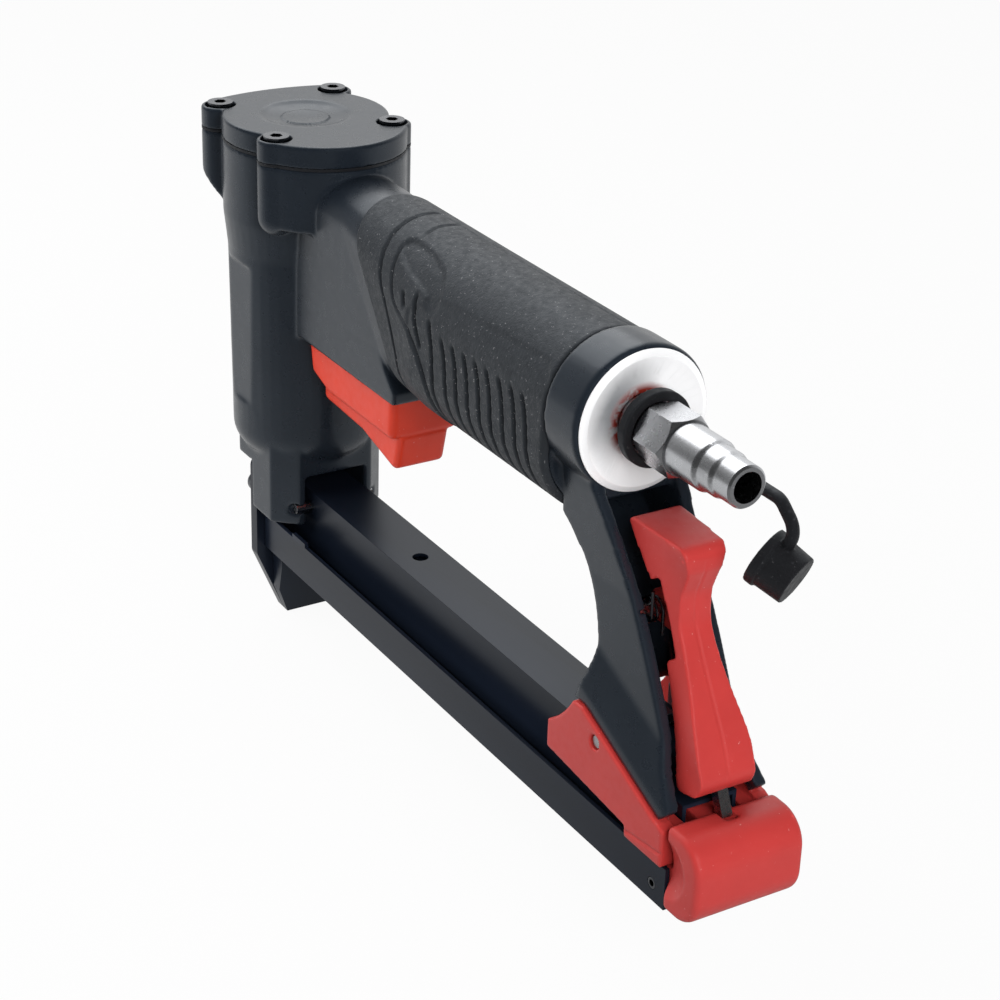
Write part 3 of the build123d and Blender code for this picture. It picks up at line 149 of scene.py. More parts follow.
class StaplerGrip(bpy.types.PropertyGroup):
    """Sections of the handle under its sleeve, and the depths of the sleeve's pattern."""

    front_top: vector(
        "Front top", "Top of the slanted front, along and up", (38.0 * MM, 144.8 * MM), unit="LENGTH"
    )
    front_foot: vector(
        "Front foot", "Foot of the slanted front, along and up", (74.0 * MM, 99.5 * MM), unit="LENGTH"
    )
    front_half: length("Front half-width", "Half-width of the slanted front", 12.3)
    full_half: length("Full half-width", "Half-width of the handle's full section", 16.0)
    full_depth: length("Full depth", "Height of the handle's full section", 42.0)
    full_level: length("Full level", "Middle height of the handle's full section", 121.3)
    full_along: length("Full along", "Where the handle reaches its full section", 92.0)
    start: amount("Start", "Share of the swell at which the rubber starts", 0.25)
    front_skin: length("Front skin", "Thickness of the rubber on the slanted front", 0.7)
    full_skin: length("Full skin", "Thickness of the rubber on the full section", 2.2)
    fit: length("Fit", "Gap between the rubber and the handle", 0.05)
    recess: length("Recess", "Depth of the smooth recess beside the top panel", 0.75)
    field: length("Field", "Step from the top panel down to the ribbed field", 0.40)
    rib: length("Rib", "Depth of the grooves between the ribs", 1.15)


class StaplerStage(bpy.types.PropertyGroup):
    """Camera, floor and lamps."""

    camera_place: vector(
        "Camera place", "Where the camera stands", (0.56211, -0.28280, 0.34097), subtype="TRANSLATION",
        unit="LENGTH",
    )
    camera_turn: vector(
        "Camera turn", "How the camera is turned",
        (math.radians(64.0941), math.radians(-1.74996), math.radians(58.9423)), subtype="EULER",
    )
    sensor: amount("Sensor", "Width of the camera's sensor in millimetres", 36.0)
    lens: amount("Lens", "Focal length in millimetres", 84.63)
    near: amount("Near", "Where the camera's view starts", 0.01, "LENGTH")
    floor_half: amount("Floor", "Half-width of the floor", 2.0, "LENGTH")
    floor_gap: length("Floor gap", "How far the floor lies below the nose", 0.3)
    ambient: amount("Ambient", "Strength of the white surround", 0.10)
    room: amount("Room", "Strength of the room opposite the backdrop", 0.07)
    room_way: vector(
        "Room side", "The way from the backdrop to the room", (0.80, -0.60, 0.0), subtype="DIRECTION"
    )
    key_power: amount("Key", "Power of the lamp at the left", 6.4, "POWER")
    top_power: amount("Top", "Power of the lamp overhead", 4.8, "POWER")
    fill_power: amount("Fill", "Power of the lamp by the camera", 12.0, "POWER")


# Selecting and finishing meshes


def pick(piece):
    """Makes a piece the only selected object and the active one."""
    bpy.ops.object.select_all(action="DESELECT")
    piece.select_set(True)
    bpy.context.view_layer.objects.active = piece


def apply_modifier(piece, kind, **settings):
    pick(piece)
    modifier = piece.modifiers.new(kind.title(), kind)
    for key, value in settings.items():
        setattr(modifier, key, value)
    bpy.ops.object.modifier_apply(modifier=modifier.name)


def merged_copy(node, name):
    """A copy of a CAD node's mesh with its triangles joined, as a new piece."""
    piece = bpy.data.objects.new(name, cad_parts[node].data.copy())
    bpy.context.scene.collection.objects.link(piece)
    pick(piece)
    bpy.ops.object.mode_set(mode="EDIT")
    bpy.ops.mesh.select_all(action="SELECT")
    bpy.ops.mesh.customdata_custom_splitnormals_clear()
    bpy.ops.mesh.remove_doubles(threshold=WELD)
    bpy.ops.object.mode_set(mode="OBJECT")
    return piece


def thin_out(piece, most):
    """Fewer triangles where a piece has more than the given count."""
    count = sum(len(face.vertices) - 2 for face in piece.data.polygons)
    if count > most:
        apply_modifier(piece, "DECIMATE", ratio=most / count)


def soften(piece, grid, passes, most=MOST_TRIANGLES):
    """Rounds every edge of a closed piece, as casting and moulding do."""
    apply_modifier(piece, "REMESH", mode="VOXEL", voxel_size=grid)
    apply_modifier(piece, "SMOOTH", factor=0.5, iterations=passes)
    thin_out(piece, most)
    pick(piece)
    bpy.ops.object.shade_smooth()


def break_edges(piece, width, segments=2):
    """A small bevel along the sharp edges of a sheet or turned piece."""
    pick(piece)
    bpy.ops.object.mode_set(mode="EDIT")
    bpy.ops.mesh.select_all(action="SELECT")
    bpy.ops.mesh.dissolve_limited(angle_limit=FLAT_ANGLE)
    bpy.ops.object.mode_set(mode="OBJECT")
    apply_modifier(
        piece, "BEVEL", width=width, segments=segments, limit_method="ANGLE",
        angle_limit=EDGE_ANGLE, use_clamp_overlap=True, harden_normals=False,
    )
    pick(piece)
    bpy.ops.object.shade_smooth_by_angle(angle=SMOOTH_ANGLE)
    apply_modifier(piece, "WEIGHTED_NORMAL", weight=100, keep_sharp=True)


def settle(piece, body, node, finish):
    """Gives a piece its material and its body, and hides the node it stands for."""
    piece.data.materials.clear()
    piece.data.materials.append(finish)
    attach(piece, body)
    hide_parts(node)
    return piece


# Lines pressed into a surface, in mm

CORNER_CUT = 0.25
DOT_STEP = 0.12
GROOVE_CURVE = 1.3
RIDGE_SPAN = 5


def rounded(points, passes=3):
    """A line with its corners cut, its ends kept."""
    line = np.array(points, float)
    for _ in range(passes):
        ahead, behind = line[:-1], line[1:]
        first = (1 - CORNER_CUT) * ahead + CORNER_CUT * behind
        second = CORNER_CUT * ahead + (1 - CORNER_CUT) * behind
        cut = np.stack([first, second], 1).reshape(-1, line.shape[1])
        line = np.vstack([line[:1], cut[1:-1], line[-1:]])
    return line


def dotted(line, step):
    """Points along a line at even distances, and how far each is from the line's start and end."""
    runs = np.linalg.norm(np.diff(line, axis=0), axis=1)
    way = np.concatenate([[0.0], np.cumsum(runs)])
    count = max(2, int(way[-1] / step) + 1)
    at = np.linspace(0.0, way[-1], count)
    dots = np.stack([np.interp(at, way, line[:, k]) for k in range(line.shape[1])], 1)
    return dots, at, way[-1] - at


def pressed(points, lines, step=DOT_STEP):
    """How deep each point lies under lines of (points, half-width, depth, fade at start, fade at end)."""
    dots, halves, depths = [], [], []
    for line, half, depth, fade_in, fade_out in lines:
        spots, since, until = dotted(np.asarray(line, float), step)
        dots.append(spots)
        halves.append(np.full(len(spots), half))
        faded = np.clip(since / max(fade_in, step), 0, 1) * np.clip(until / max(fade_out, step), 0, 1)
        depths.append(depth * faded)
    dots, halves, depths = np.concatenate(dots), np.concatenate(halves), np.concatenate(depths)
    tree = kdtree.KDTree(len(dots))
    for index, dot in enumerate(dots):
        tree.insert(dot, index)
    tree.balance()
    found = [tree.find(point)[1:] for point in points]
    nearest = np.array([index for index, _ in found])
    away = np.array([distance for _, distance in found])
    return depths[nearest] * np.clip(1 - (away / halves[nearest]) ** 2, 0, 1) ** GROOVE_CURVE


def mesh_points(piece):
    """A piece's points and normals, in mm."""
    found = []
    for kind in ("co", "normal"):
        flat = np.empty(len(piece.data.vertices) * 3)
        piece.data.vertices.foreach_get(kind, flat)
        found.append(flat.reshape(-1, 3))
    return found[0] / MM, found[1]


def press(piece, near, depths):
    """Moves points of a piece in along their normals."""
    places, normals = mesh_points(piece)
    places[near] -= normals[near] * depths[:, None]
    piece.data.vertices.foreach_set("co", (places * MM).ravel())
    piece.data.update()


def press_lines(piece, lines):
    """Presses lines, given in mm, into a finely meshed piece along its normals."""
    places, _ = mesh_points(piece)
    reach = max(half for _, half, *_ in lines)
    corners = np.concatenate([np.asarray(line, float) for line, *_ in lines])
    inside = (places > corners.min(0) - reach) & (places < corners.max(0) + reach)
    near = np.all(inside, axis=1).nonzero()[0]
    press(piece, near, pressed(places[near], lines))


def ridge(piece, way, low, high, step):
    """The line of points that stand out most along a way, level by level inside a box."""
    places, _ = mesh_points(piece)
    inside = places[np.all((places > low) & (places < high), axis=1)]
    levels = np.arange(low[2] + step, high[2] - step, step)
    line = []
    for level in levels:
        row = inside[np.abs(inside[:, 2] - level) < step / 2]
        if len(row):
            line.append(row[np.argmax(row @ np.asarray(way, float))])
    line = np.array(line)
    kernel = np.ones(RIDGE_SPAN) / RIDGE_SPAN
    ends = RIDGE_SPAN // 2
    for axis in range(3):
        line[ends:-ends, axis] = np.convolve(line[:, axis], kernel, "valid")
    return line


# Materials

NOISE_RANGE = (0.3, 0.7)
COOL_SHINE = (0.82, 0.91, 1.0, 1.0)
PALE_DUST = (0.34, 0.34, 0.35, 1.0)
PINK_DUST = (0.75, 0.52, 0.50, 1.0)
# Painted shade on the inlet disc's dish: its grey, the way towards the darkened side, how far that ramp
# runs, and the radii where it fades.
DISH_SHADE_GREY = (0.06, 0.068, 0.08, 1.0)
DISH_SHADE_WAY = (0.0, -0.88, 0.47)
DISH_SHADE_RISE = 11 * MM
DISH_SHADE_REACH = (9.5 * MM, 17.0 * MM)
SEALANT_REACH = (7.4 * MM, 9.4 * MM)


def start_finish(name, values):
    """A new node material with constants on its shader."""
    made = bpy.data.materials.new(name)
    made.use_nodes = True
    shader = made.node_tree.nodes["Principled BSDF"]
    for key, value in values.items():
        shader.inputs[key].default_value = value
    return made, made.node_tree, shader


def shade(value, factor):
    return (*[min(1.0, part * factor) for part in value], 1.0)


def place(tree, stretch=(1, 1, 1), shift=(0, 0, 0)):
    """Object coordinates, stretched and shifted."""
    coords = tree.nodes.new("ShaderNodeTexCoord")
    mapping = tree.nodes.new("ShaderNodeMapping")
    mapping.inputs["Scale"].default_value = stretch
    mapping.inputs["Location"].default_value = shift
    tree.links.new(coords.outputs["Object"], mapping.inputs["Vector"])
    return mapping.outputs["Vector"]


def noise(tree, scale, detail=2.0, rough=0.5, stretch=(1, 1, 1)):
    made = tree.nodes.new("ShaderNodeTexNoise")
    made.inputs["Scale"].default_value = scale
    made.inputs["Detail"].default_value = detail
    made.inputs["Roughness"].default_value = rough
    tree.links.new(place(tree, stretch), made.inputs["Vector"])
    return made.outputs["Fac"]


def spread(tree, source, low, high, out_low=0.0, out_high=1.0):
    """A value from low to high, mapped to another range and held there."""
    made = tree.nodes.new("ShaderNodeMapRange")
    made.inputs["From Min"].default_value = low
    made.inputs["From Max"].default_value = high
    made.inputs["To Min"].default_value = out_low
    made.inputs["To Max"].default_value = out_high
    tree.links.new(source, made.inputs["Value"])
    return made.outputs["Result"]


def blend_colours(tree, factor, first, second):
    """A mix of two colours, each a value or another node's output."""
    made = tree.nodes.new("ShaderNodeMix")
    made.data_type = "RGBA"
    tree.links.new(factor, made.inputs["Factor"])
    for socket, value in (("A", first), ("B", second)):
        target = next(s for s in made.inputs if s.name == socket and s.type == "RGBA")
        if isinstance(value, tuple):
            target.default_value = value
        else:
            tree.links.new(value, target)
    return next(s for s in made.outputs if s.type == "RGBA")


def relief(tree, shader, *layers):
    """Bump from (height, strength, depth in mm) layers, one on another."""
    normal = None
    for height, strength, depth in layers:
        bump = tree.nodes.new("ShaderNodeBump")
        bump.inputs["Strength"].default_value = strength
        bump.inputs["Distance"].default_value = depth * MM
        tree.links.new(height, bump.inputs["Height"])
        if normal:
            tree.links.new(normal, bump.inputs["Normal"])
        normal = bump.outputs["Normal"]
    tree.links.new(normal, shader.inputs["Normal"])


def roughen(tree, shader, source, low, high):
    """Roughness that follows a noise from one value to another."""
    tree.links.new(spread(tree, source, *NOISE_RANGE, low, high), shader.inputs["Roughness"])


def dusted(tree, under, dust, scale, thick, least, most):
    """A colour with specks of dust on it where a noise rises from its least to its most."""
    specks = spread(tree, noise(tree, scale, 2, 0.6), least, most, 0.0, thick)
    return blend_colours(tree, specks, under, dust)


def edge_wear_and_groove_shade(tree, low, high):
    """How strongly an edge stands out, from 0 to 1, for rubbed edges; its low end also marks grooves for
    painted shade.
    """
    geometry = tree.nodes.new("ShaderNodeNewGeometry")
    return spread(tree, geometry.outputs["Pointiness"], low, high)


def coat_finish(name, base):
    """Satin coat on a die casting: mottled tone, rubbed edges and a fine cast grain."""
    made, tree, shader = start_finish(name, {"Specular IOR Level": 0.45, "Specular Tint": COOL_SHINE})
    tone = blend_colours(tree, noise(tree, 70, 4), shade(base, 0.86), shade(base, 1.14))
    worn = blend_colours(tree, edge_wear_and_groove_shade(tree, 0.53, 0.66), tone, shade(base, 1.5))
    tree.links.new(worn, shader.inputs["Base Color"])
    roughen(tree, shader, noise(tree, 320, 3), 0.26, 0.32)
    relief(tree, shader, (noise(tree, 260, 2), 0.04, 0.2), (noise(tree, 2400, 2), 0.05, 0.08))
    return made


def sheet_finish(name, base):
    """Black coat on sheet metal, with faint drawn streaks along its length."""
    made, tree, shader = start_finish(name, {"Specular IOR Level": 0.2, "Specular Tint": COOL_SHINE})
    streaks = noise(tree, 900, 3, 0.6, (0.05, 1, 1))
    tone = blend_colours(tree, streaks, shade(base, 0.9), shade(base, 1.12))
    worn = blend_colours(tree, edge_wear_and_groove_shade(tree, 0.53, 0.68), tone, shade(base, 3.0))
    tree.links.new(worn, shader.inputs["Base Color"])
    roughen(tree, shader, streaks, 0.28, 0.31)
    relief(tree, shader, (streaks, 0.02, 0.05), (noise(tree, 3000, 2), 0.04, 0.05))
    return made


def moulded_finish(name, base):
    """Satin moulded plastic with a fine texture and a little dust."""
    made, tree, shader = start_finish(name, {"Specular IOR Level": 0.42})
    tone = blend_colours(tree, noise(tree, 90, 3), shade(base, 0.90), shade(base, 1.10))
    worn = blend_colours(tree, edge_wear_and_groove_shade(tree, 0.52, 0.66), tone, shade(base, 1.35))
    tree.links.new(dusted(tree, worn, PINK_DUST, 1100, 0.4, 0.71, 0.77), shader.inputs["Base Color"])
    roughen(tree, shader, noise(tree, 500, 2), 0.34, 0.46)
    relief(tree, shader, (noise(tree, 180, 2), 0.05, 0.2), (noise(tree, 3200, 2), 0.10, 0.06))
    return made


def rubber_finish(name, base, grain, speckle):
    """Rubber with a grain, pale specks of dust in it, and painted shade darkening its grooves."""
    made, tree, shader = start_finish(name, {"Specular IOR Level": 0.45, "Specular Tint": COOL_SHINE})
    tone = blend_colours(tree, noise(tree, 120, 4), shade(base, 0.8), shade(base, 1.25))
    # Painted shade: concave places such as the grooves go down to a quarter of the base colour.
    painted_groove_shade = blend_colours(tree, edge_wear_and_groove_shade(tree, 0.42, 0.49), shade(base, 0.25), tone)
    worn = blend_colours(tree, edge_wear_and_groove_shade(tree, 0.52, 0.64), painted_groove_shade, shade(base, 2.2))
    tree.links.new(dusted(tree, worn, PALE_DUST, 1500, speckle, 0.66, 0.74), shader.inputs["Base Color"])
    roughen(tree, shader, noise(tree, 600, 2), 0.48, 0.64)
    coarse, fine = noise(tree, 1300, 3, 0.6), noise(tree, 3600, 2)
    relief(tree, shader, (coarse, grain, 0.25), (fine, grain / 2, 0.1))
    return made


def metal_finish(name, base, roughness, scale=1400, tone=0.08):
    """Bare or plated metal with a fine grain."""
    made, tree, shader = start_finish(name, {"Metallic": 1.0})
    grain = noise(tree, scale, 3, 0.6)
    cloud = blend_colours(tree, noise(tree, 150, 3), shade(base, 1 - tone), shade(base, 1 + tone))
    tree.links.new(cloud, shader.inputs["Base Color"])
    roughen(tree, shader, grain, *roughness)
    relief(tree, shader, (grain, 0.02, 0.05))
    return made


def product(tree, first, second):
    made = tree.nodes.new("ShaderNodeMath")
    made.operation = "MULTIPLY"
    tree.links.new(first, made.inputs[0])
    tree.links.new(second, made.inputs[1])
    return made.outputs["Value"]


def turned_finish(name, base, axis_height, smear):
    """Turned aluminium: fine rings round the inlet's axis, red sealant near the plug, and painted shade
    on the upper left of the dish, darkest near the middle.
    """
    made, tree, shader = start_finish(name, {})
    rings = tree.nodes.new("ShaderNodeTexWave")
    rings.wave_type = "RINGS"
    rings.rings_direction = "X"
    rings.inputs["Scale"].default_value = 2600
    rings.inputs["Distortion"].default_value = 0.6
    rings.inputs["Detail"].default_value = 1.0
    tree.links.new(place(tree, shift=(0, 0, -axis_height)), rings.inputs["Vector"])
    reach = tree.nodes.new("ShaderNodeVectorMath")
    reach.operation = "LENGTH"
    tree.links.new(place(tree, (0, 1, 1), (0, 0, -axis_height)), reach.inputs[0])
    near = spread(tree, reach.outputs["Value"], *SEALANT_REACH, 1.0, 0.0)
    patch = spread(tree, noise(tree, 420, 4, 0.6), 0.34, 0.50)
    smeared = product(tree, near, patch)
    # Painted shade: the disc's upper left is greyed towards the middle, standing in for the dark
    # reflection in the dish.
    aside = tree.nodes.new("ShaderNodeVectorMath")
    aside.operation = "DOT_PRODUCT"
    aside.inputs[1].default_value = DISH_SHADE_WAY
    tree.links.new(place(tree, shift=(0, 0, -axis_height)), aside.inputs[0])
    shade_side = spread(tree, aside.outputs["Value"], 0.0, DISH_SHADE_RISE)
    dish_shade_mask = product(tree, shade_side, spread(tree, reach.outputs["Value"], *DISH_SHADE_REACH, 1.0, 0.0))
    dish_shaded = blend_colours(tree, dish_shade_mask, shade(base, 0.98), DISH_SHADE_GREY)
    lit = spread(tree, rings.outputs["Fac"], 0, 1, 0.0, 0.12)
    bare = blend_colours(tree, lit, dish_shaded, (*base, 1.0))
    tree.links.new(blend_colours(tree, smeared, bare, (*smear, 1.0)), shader.inputs["Base Color"])
    tree.links.new(spread(tree, smeared, 0, 1, 0.25, 0.0), shader.inputs["Metallic"])
    tree.links.new(spread(tree, rings.outputs["Fac"], 0, 1, 0.22, 0.30), shader.inputs["Roughness"])
    relief(tree, shader, (rings.outputs["Fac"], 0.02, 0.03))
    return made


def stored(name, maker, base, *arguments, **settings):
    """A finish by name, made the first time it is asked for."""
    name = "finish_" + name
    return bpy.data.materials.get(name) or maker(name, tuple(base), *arguments, **settings)


def finishes():
    """Every finish of the stapler, by name."""
    tint = bpy.context.scene.stapler_finish
    axis_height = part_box("inlet_end_cap")[0].lerp(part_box("inlet_end_cap")[1], 0.5).z
    return {
        "casting": stored("charcoal_coat", coat_finish, tint.casting),
        "sheet": stored("black_sheet_coat", sheet_finish, tint.sheet),
        "oxide": stored("black_oxide", metal_finish, tint.oxide, (0.20, 0.30)),
        "trigger_red": stored("trigger_red_moulding", moulded_finish, tint.trigger_red),
        "latch_red": stored("latch_red_moulding", moulded_finish, tint.latch_red),
        "white": stored("white_moulding", moulded_finish, tint.white),
        "grip": stored("grained_grip_rubber", rubber_finish, tint.grip, 0.55, 0.55),
        "rubber": stored("smooth_black_rubber", rubber_finish, tint.rubber, 0.12, 0.10),
        "amber": stored("amber_bumper_rubber", rubber_finish, tint.amber, 0.10, 0.0),
        "steel": stored("ground_steel", metal_finish, tint.steel, (0.22, 0.36)),
        "wire": stored("drawn_wire", metal_finish, tint.wire, (0.26, 0.40)),
        "plated": stored("bright_plating", metal_finish, tint.plated, (0.26, 0.31), scale=900, tone=0.03),
        "brass": stored("turned_brass", metal_finish, tint.brass, (0.20, 0.34)),
        "aluminium": stored("turned_aluminium", turned_finish, tint.aluminium, axis_height, tint.sealant),
    }


# Pieces


class STAPLER_OT_castings(bpy.types.Operator):
    """Round the edges of the body and cap castings and coat them"""

    bl_idname = "stapler.castings"
    bl_label = "Body and cap castings"

    rim_share = 0.25

    def execute(self, context):
        edges = context.scene.stapler_edges
        coat = finishes()["casting"]
        body = merged_copy("main_body", "cast_body")
        soften(body, edges.casting_grid, edges.casting_passes)
        settle(body, "base", "main_body", coat)
        cap = merged_copy("cylinder_cap", "cast_cap")
        soften(cap, edges.plastic_grid, edges.cap_passes, SMALL_PIECE_TRIANGLES)
        self.dish(cap, edges.dish_reach / MM, edges.dish_depth / MM)
        settle(cap, "base", "cylinder_cap", coat)
        return {"FINISHED"}

    def dish(self, cap, reach, depth):
        """A shallow round dish in the cap's top."""
        places, normals = mesh_points(cap)
        away = np.hypot(places[:, 0], places[:, 1])
        level = (normals[:, 2] > 0.9) & (places[:, 2] > places[:, 2].max() - 1)
        near = (level & (away < reach)).nonzero()[0]
        rim = np.clip((reach - away[near]) / (self.rim_share * reach), 0, 1)
        press(cap, near, depth * rim * rim * (3 - 2 * rim))


class STAPLER_OT_gaskets(bpy.types.Operator):
    """Model the gasket under the cap, the seal rings and the bumper"""

    bl_idname = "stapler.gaskets"
    bl_label = "Gasket, rings and bumper"

    def execute(self, context):
        look = finishes()
        edges = context.scene.stapler_edges
        gasket = merged_copy("cap_gasket", "head_gasket")
        break_edges(gasket, edges.gasket_bevel)
        settle(gasket, "base", "cap_gasket", look["rubber"])
        for node, name, body in (
            ("piston_ring", "piston_seal", "driver"),
            ("inlet_ring", "inlet_seal", "base"),
        ):
            ring = merged_copy(node, name)
            soften(ring, edges.rubber_grid, edges.rubber_passes)
            settle(ring, body, node, look["rubber"])
        stop = merged_copy("bumper", "piston_bumper")
        soften(stop, edges.bumper_grid, edges.rubber_passes)
        settle(stop, "base", "bumper", look["amber"])
        return {"FINISHED"}


# Lines pressed into the mouldings, in mm: (half-width, depth, fade at start, fade at end)

BRACKET_SEAM = ((191.6, 36.0), (206.4, 37.9))
BRACKET_SEAM_CUT = (0.6, 0.4, 1.0, 0.0)
PIN_RING_CUT = (0.8, 0.55, 0.0, 0.0)
PIN_RING_DOTS = 40
LEVER_SEAM_FADE = 2.0
LEVER_SEAM_BAND = 0.4
LEVER_SEAM_STEP = 1.0


class STAPLER_OT_plastics(bpy.types.Operator):
    """Round and colour the trigger, lever, bracket and magazine end"""

    bl_idname = "stapler.plastics"
    bl_label = "Red mouldings"

    def execute(self, context):
        edges = context.scene.stapler_edges
        look = finishes()
        for node, name, body, finish in (
            ("trigger", "trigger_moulding", "trigger", "trigger_red"),
            ("latch_lever", "lever_moulding", "latch", "latch_red"),
            ("rear_bracket", "bracket_moulding", "base", "latch_red"),
            ("magazine_end_cap", "end_moulding", "magazine", "latch_red"),
        ):
            piece = merged_copy(node, name)
            soften(piece, edges.plastic_grid, edges.plastic_passes)
            if node == "latch_lever":
                press_lines(piece, [self.lever_line(piece, edges)])
            if node == "rear_bracket":
                rings = [self.pin_ring(hand, edges.pin_ring / MM) for hand in (0, 1)]
                press_lines(piece, rings + [self.foot_line(hand) for hand in (0, 1)])
            settle(piece, body, node, look[finish])
        return {"FINISHED"}

    def lever_line(self, piece, edges):
        """The parting line down the middle of the lever's rear face."""
        low, high = np.array(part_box("latch_lever")) / MM
        low = (low[0], -LEVER_SEAM_BAND, low[2] + LEVER_SEAM_FADE)
        high = (high[0], LEVER_SEAM_BAND, high[2] - LEVER_SEAM_FADE)
        seam = ridge(piece, (1, 0, 0), low, high, LEVER_SEAM_STEP)
        seam[:, 1] = 0
        return seam, edges.seam_half / MM, edges.seam_depth / MM, LEVER_SEAM_FADE, LEVER_SEAM_FADE

    def foot_line(self, hand):
        """The parting line along one side of the bracket's foot."""
        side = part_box("rear_bracket")[hand].y / MM
        return [(along, side, up) for along, up in BRACKET_SEAM], *BRACKET_SEAM_CUT

    def pin_ring(self, hand, reach):
        """A ring pressed round one end of the bracket's pin."""
        ends = np.array(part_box("bracket_pin")) / MM
        centre = ends.mean(0)
        turn = np.linspace(0, 2 * math.pi, PIN_RING_DOTS)
        side = np.full(PIN_RING_DOTS, ends[hand, 1])
        ring = np.stack([centre[0] + reach * np.cos(turn), side, centre[2] + reach * np.sin(turn)], 1)
        return ring, *PIN_RING_CUT


class STAPLER_OT_magazine(bpy.types.Operator):
    """Break the edges of the rail, channel, core, plate, guide and pusher"""

    bl_idname = "stapler.magazine"
    bl_label = "Magazine and nose sheets"

    def execute(self, context):
        width = context.scene.stapler_edges.sheet_bevel
        look = finishes()
        for node, name, body, slot, finish in (
            ("fixed_magazine", "rail_sheet", "base", "black_sheet", "sheet"),
            ("magazine_channel", "channel_sheet", "magazine", "black_sheet", "sheet"),
            ("staple_core", "core_sheet", "magazine", "black_sheet", "sheet"),
            ("front_plate", "nose_plate", "base", "black_sheet", "sheet"),
            ("nose_guide", "nose_wedge", "base", "black_sheet", "sheet"),
            ("pusher", "pusher_saddle", "pusher", "bright_steel", "steel"),
        ):
            piece = merged_copy(node, name)
            break_edges(piece, width)
            settle(piece, body, node, look[finish])
        return {"FINISHED"}


class STAPLER_OT_screws(bpy.types.Operator):
    """Break the edges of the screws and the roll pin"""

    bl_idname = "stapler.screws"
    bl_label = "Screws and roll pin"

    def execute(self, context):
        width = context.scene.stapler_edges.screw_bevel
        oxide = finishes()["oxide"]
        for node, name, body in (
            ("cap_screws", "cap_screw_set", "base"),
            ("plate_screws", "plate_screw_set", "base"),
            ("guide_screws", "guide_screw_set", "base"),
            ("roll_pin", "end_roll_pin", "magazine"),
        ):
            piece = merged_copy(node, name)
            break_edges(piece, width)
            settle(piece, body, node, oxide)
        return {"FINISHED"}


class STAPLER_OT_inlet(bpy.types.Operator):
    """Turn the inlet disc and plate the air plug"""

    bl_idname = "stapler.inlet"
    bl_label = "Inlet disc and air plug"

    def execute(self, context):
        look = finishes()
        edges = context.scene.stapler_edges
        disc = merged_copy("inlet_end_cap", "inlet_disc")
        break_edges(disc, edges.disc_bevel, 3)
        settle(disc, "base", "inlet_end_cap", look["aluminium"])
        plug = merged_copy("air_plug", "coupler_plug")
        break_edges(plug, edges.plug_bevel, 3)
        settle(plug, "base", "air_plug", look["plated"])
        return {"FINISHED"}


class STAPLER_OT_dust_cap(bpy.types.Operator):
    """Mould the rubber dust cap with its strap and ring"""

    bl_idname = "stapler.dust_cap"
    bl_label = "Dust cap and strap"

    def execute(self, context):
        edges = context.scene.stapler_edges
        piece = merged_copy("dust_cap", "dust_cap_rubber")
        soften(piece, edges.rubber_grid, edges.rubber_passes, SMALL_PIECE_TRIANGLES)
        settle(piece, "dust_cap", "dust_cap", finishes()["rubber"])
        return {"FINISHED"}


# Pattern of the sleeve: (station, girth) points. A station up to 1 is the share of the swell, and above
# that the place along the tool in mm. Girth is in mm from the top of the full section, minus to the left.

BORDER = (
    (0.555, 4.5), (0.555, -8), (0.56, -15), (0.59, -25), (0.62, -31), (0.62, -36), (0.60, -41),
    (0.585, -50), (0.58, -67.2),
)
ARC = ((0.735, 4.5), (0.728, 0), (0.735, -4), (0.745, -6.5), (0.77, -9))
PARTING = ((0.555, 4.5), (0.735, 4.7), (92, 5), (120, 5), (149.5, 5.2), (152.5, 6.5))
INNER = (
    (0.68, -12.5), (0.71, -20.5), (0.74, -24), (0.77, -27.5), (0.82, -29), (0.95, -30), (93, -32.5),
    (96.4, -36.3), (99.4, -40.5), (100.6, -46), (101, -56), (101.2, -67.2),
)
SHORT_RIBS = (
    ((0.87, -22), (0.89, -24.2), (0.92, -26.5)),
    ((92.5, -19.5), (93, -25), (94.5, -29), (97, -33.5)),
)
FIRST_RIB = ((100, -24), (102, -29), (102.7, -34), (103.2, -43), (103.7, -55), (104, -67.2))
RIB_PLACES = (108.7, 114, 119.4, 124.8, 130, 135.6, 141, 146)
RIB = ((-2.2, -26.5), (-1.2, -28.5), (0, -32), (1.1, -43), (1.6, -55), (1.8, -67.2))
RECESS = (
    (0.68, -12.5), (0.71, -9), (96, -10.3), (102.5, -18.5), (101.5, -23), (97.5, -22), (95.6, -18.3),
    (0.76, -17.5),
)
FIELD = (
    (102.5, -18.5), (122, -17.2), (140, -16.5), (156, -16), (156, -80), (101.2, -80), (101, -56),
    (100.6, -46), (99.4, -40.5), (96.4, -36.3), (93, -32.5), (0.95, -30), (0.97, -24), (97.5, -22),
    (101.5, -23),
)

# Grooves of the sleeve, in mm: (half-width, depth, fade at start, fade at end)

BORDER_CUT = (0.85, 0.8, 0.0, 0.0)
FAR_BORDER_CUT = (0.85, 0.8, 4.0, 0.0)
ARC_CUT = (0.65, 0.6, 0.0, 4.0)
PARTING_CUT = (0.45, 0.35, 0.0, 0.0)
INNER_CUT = (0.7, 0.7, 1.5, 0.0)
RIB_HALF = 0.85
RIB_FADES = (2.0, 1.5)
RIB_RUNS_OUT = -60
RECESS_EDGE = 1.8
FIELD_EDGE = 1.4
STATION_MM = 60.0


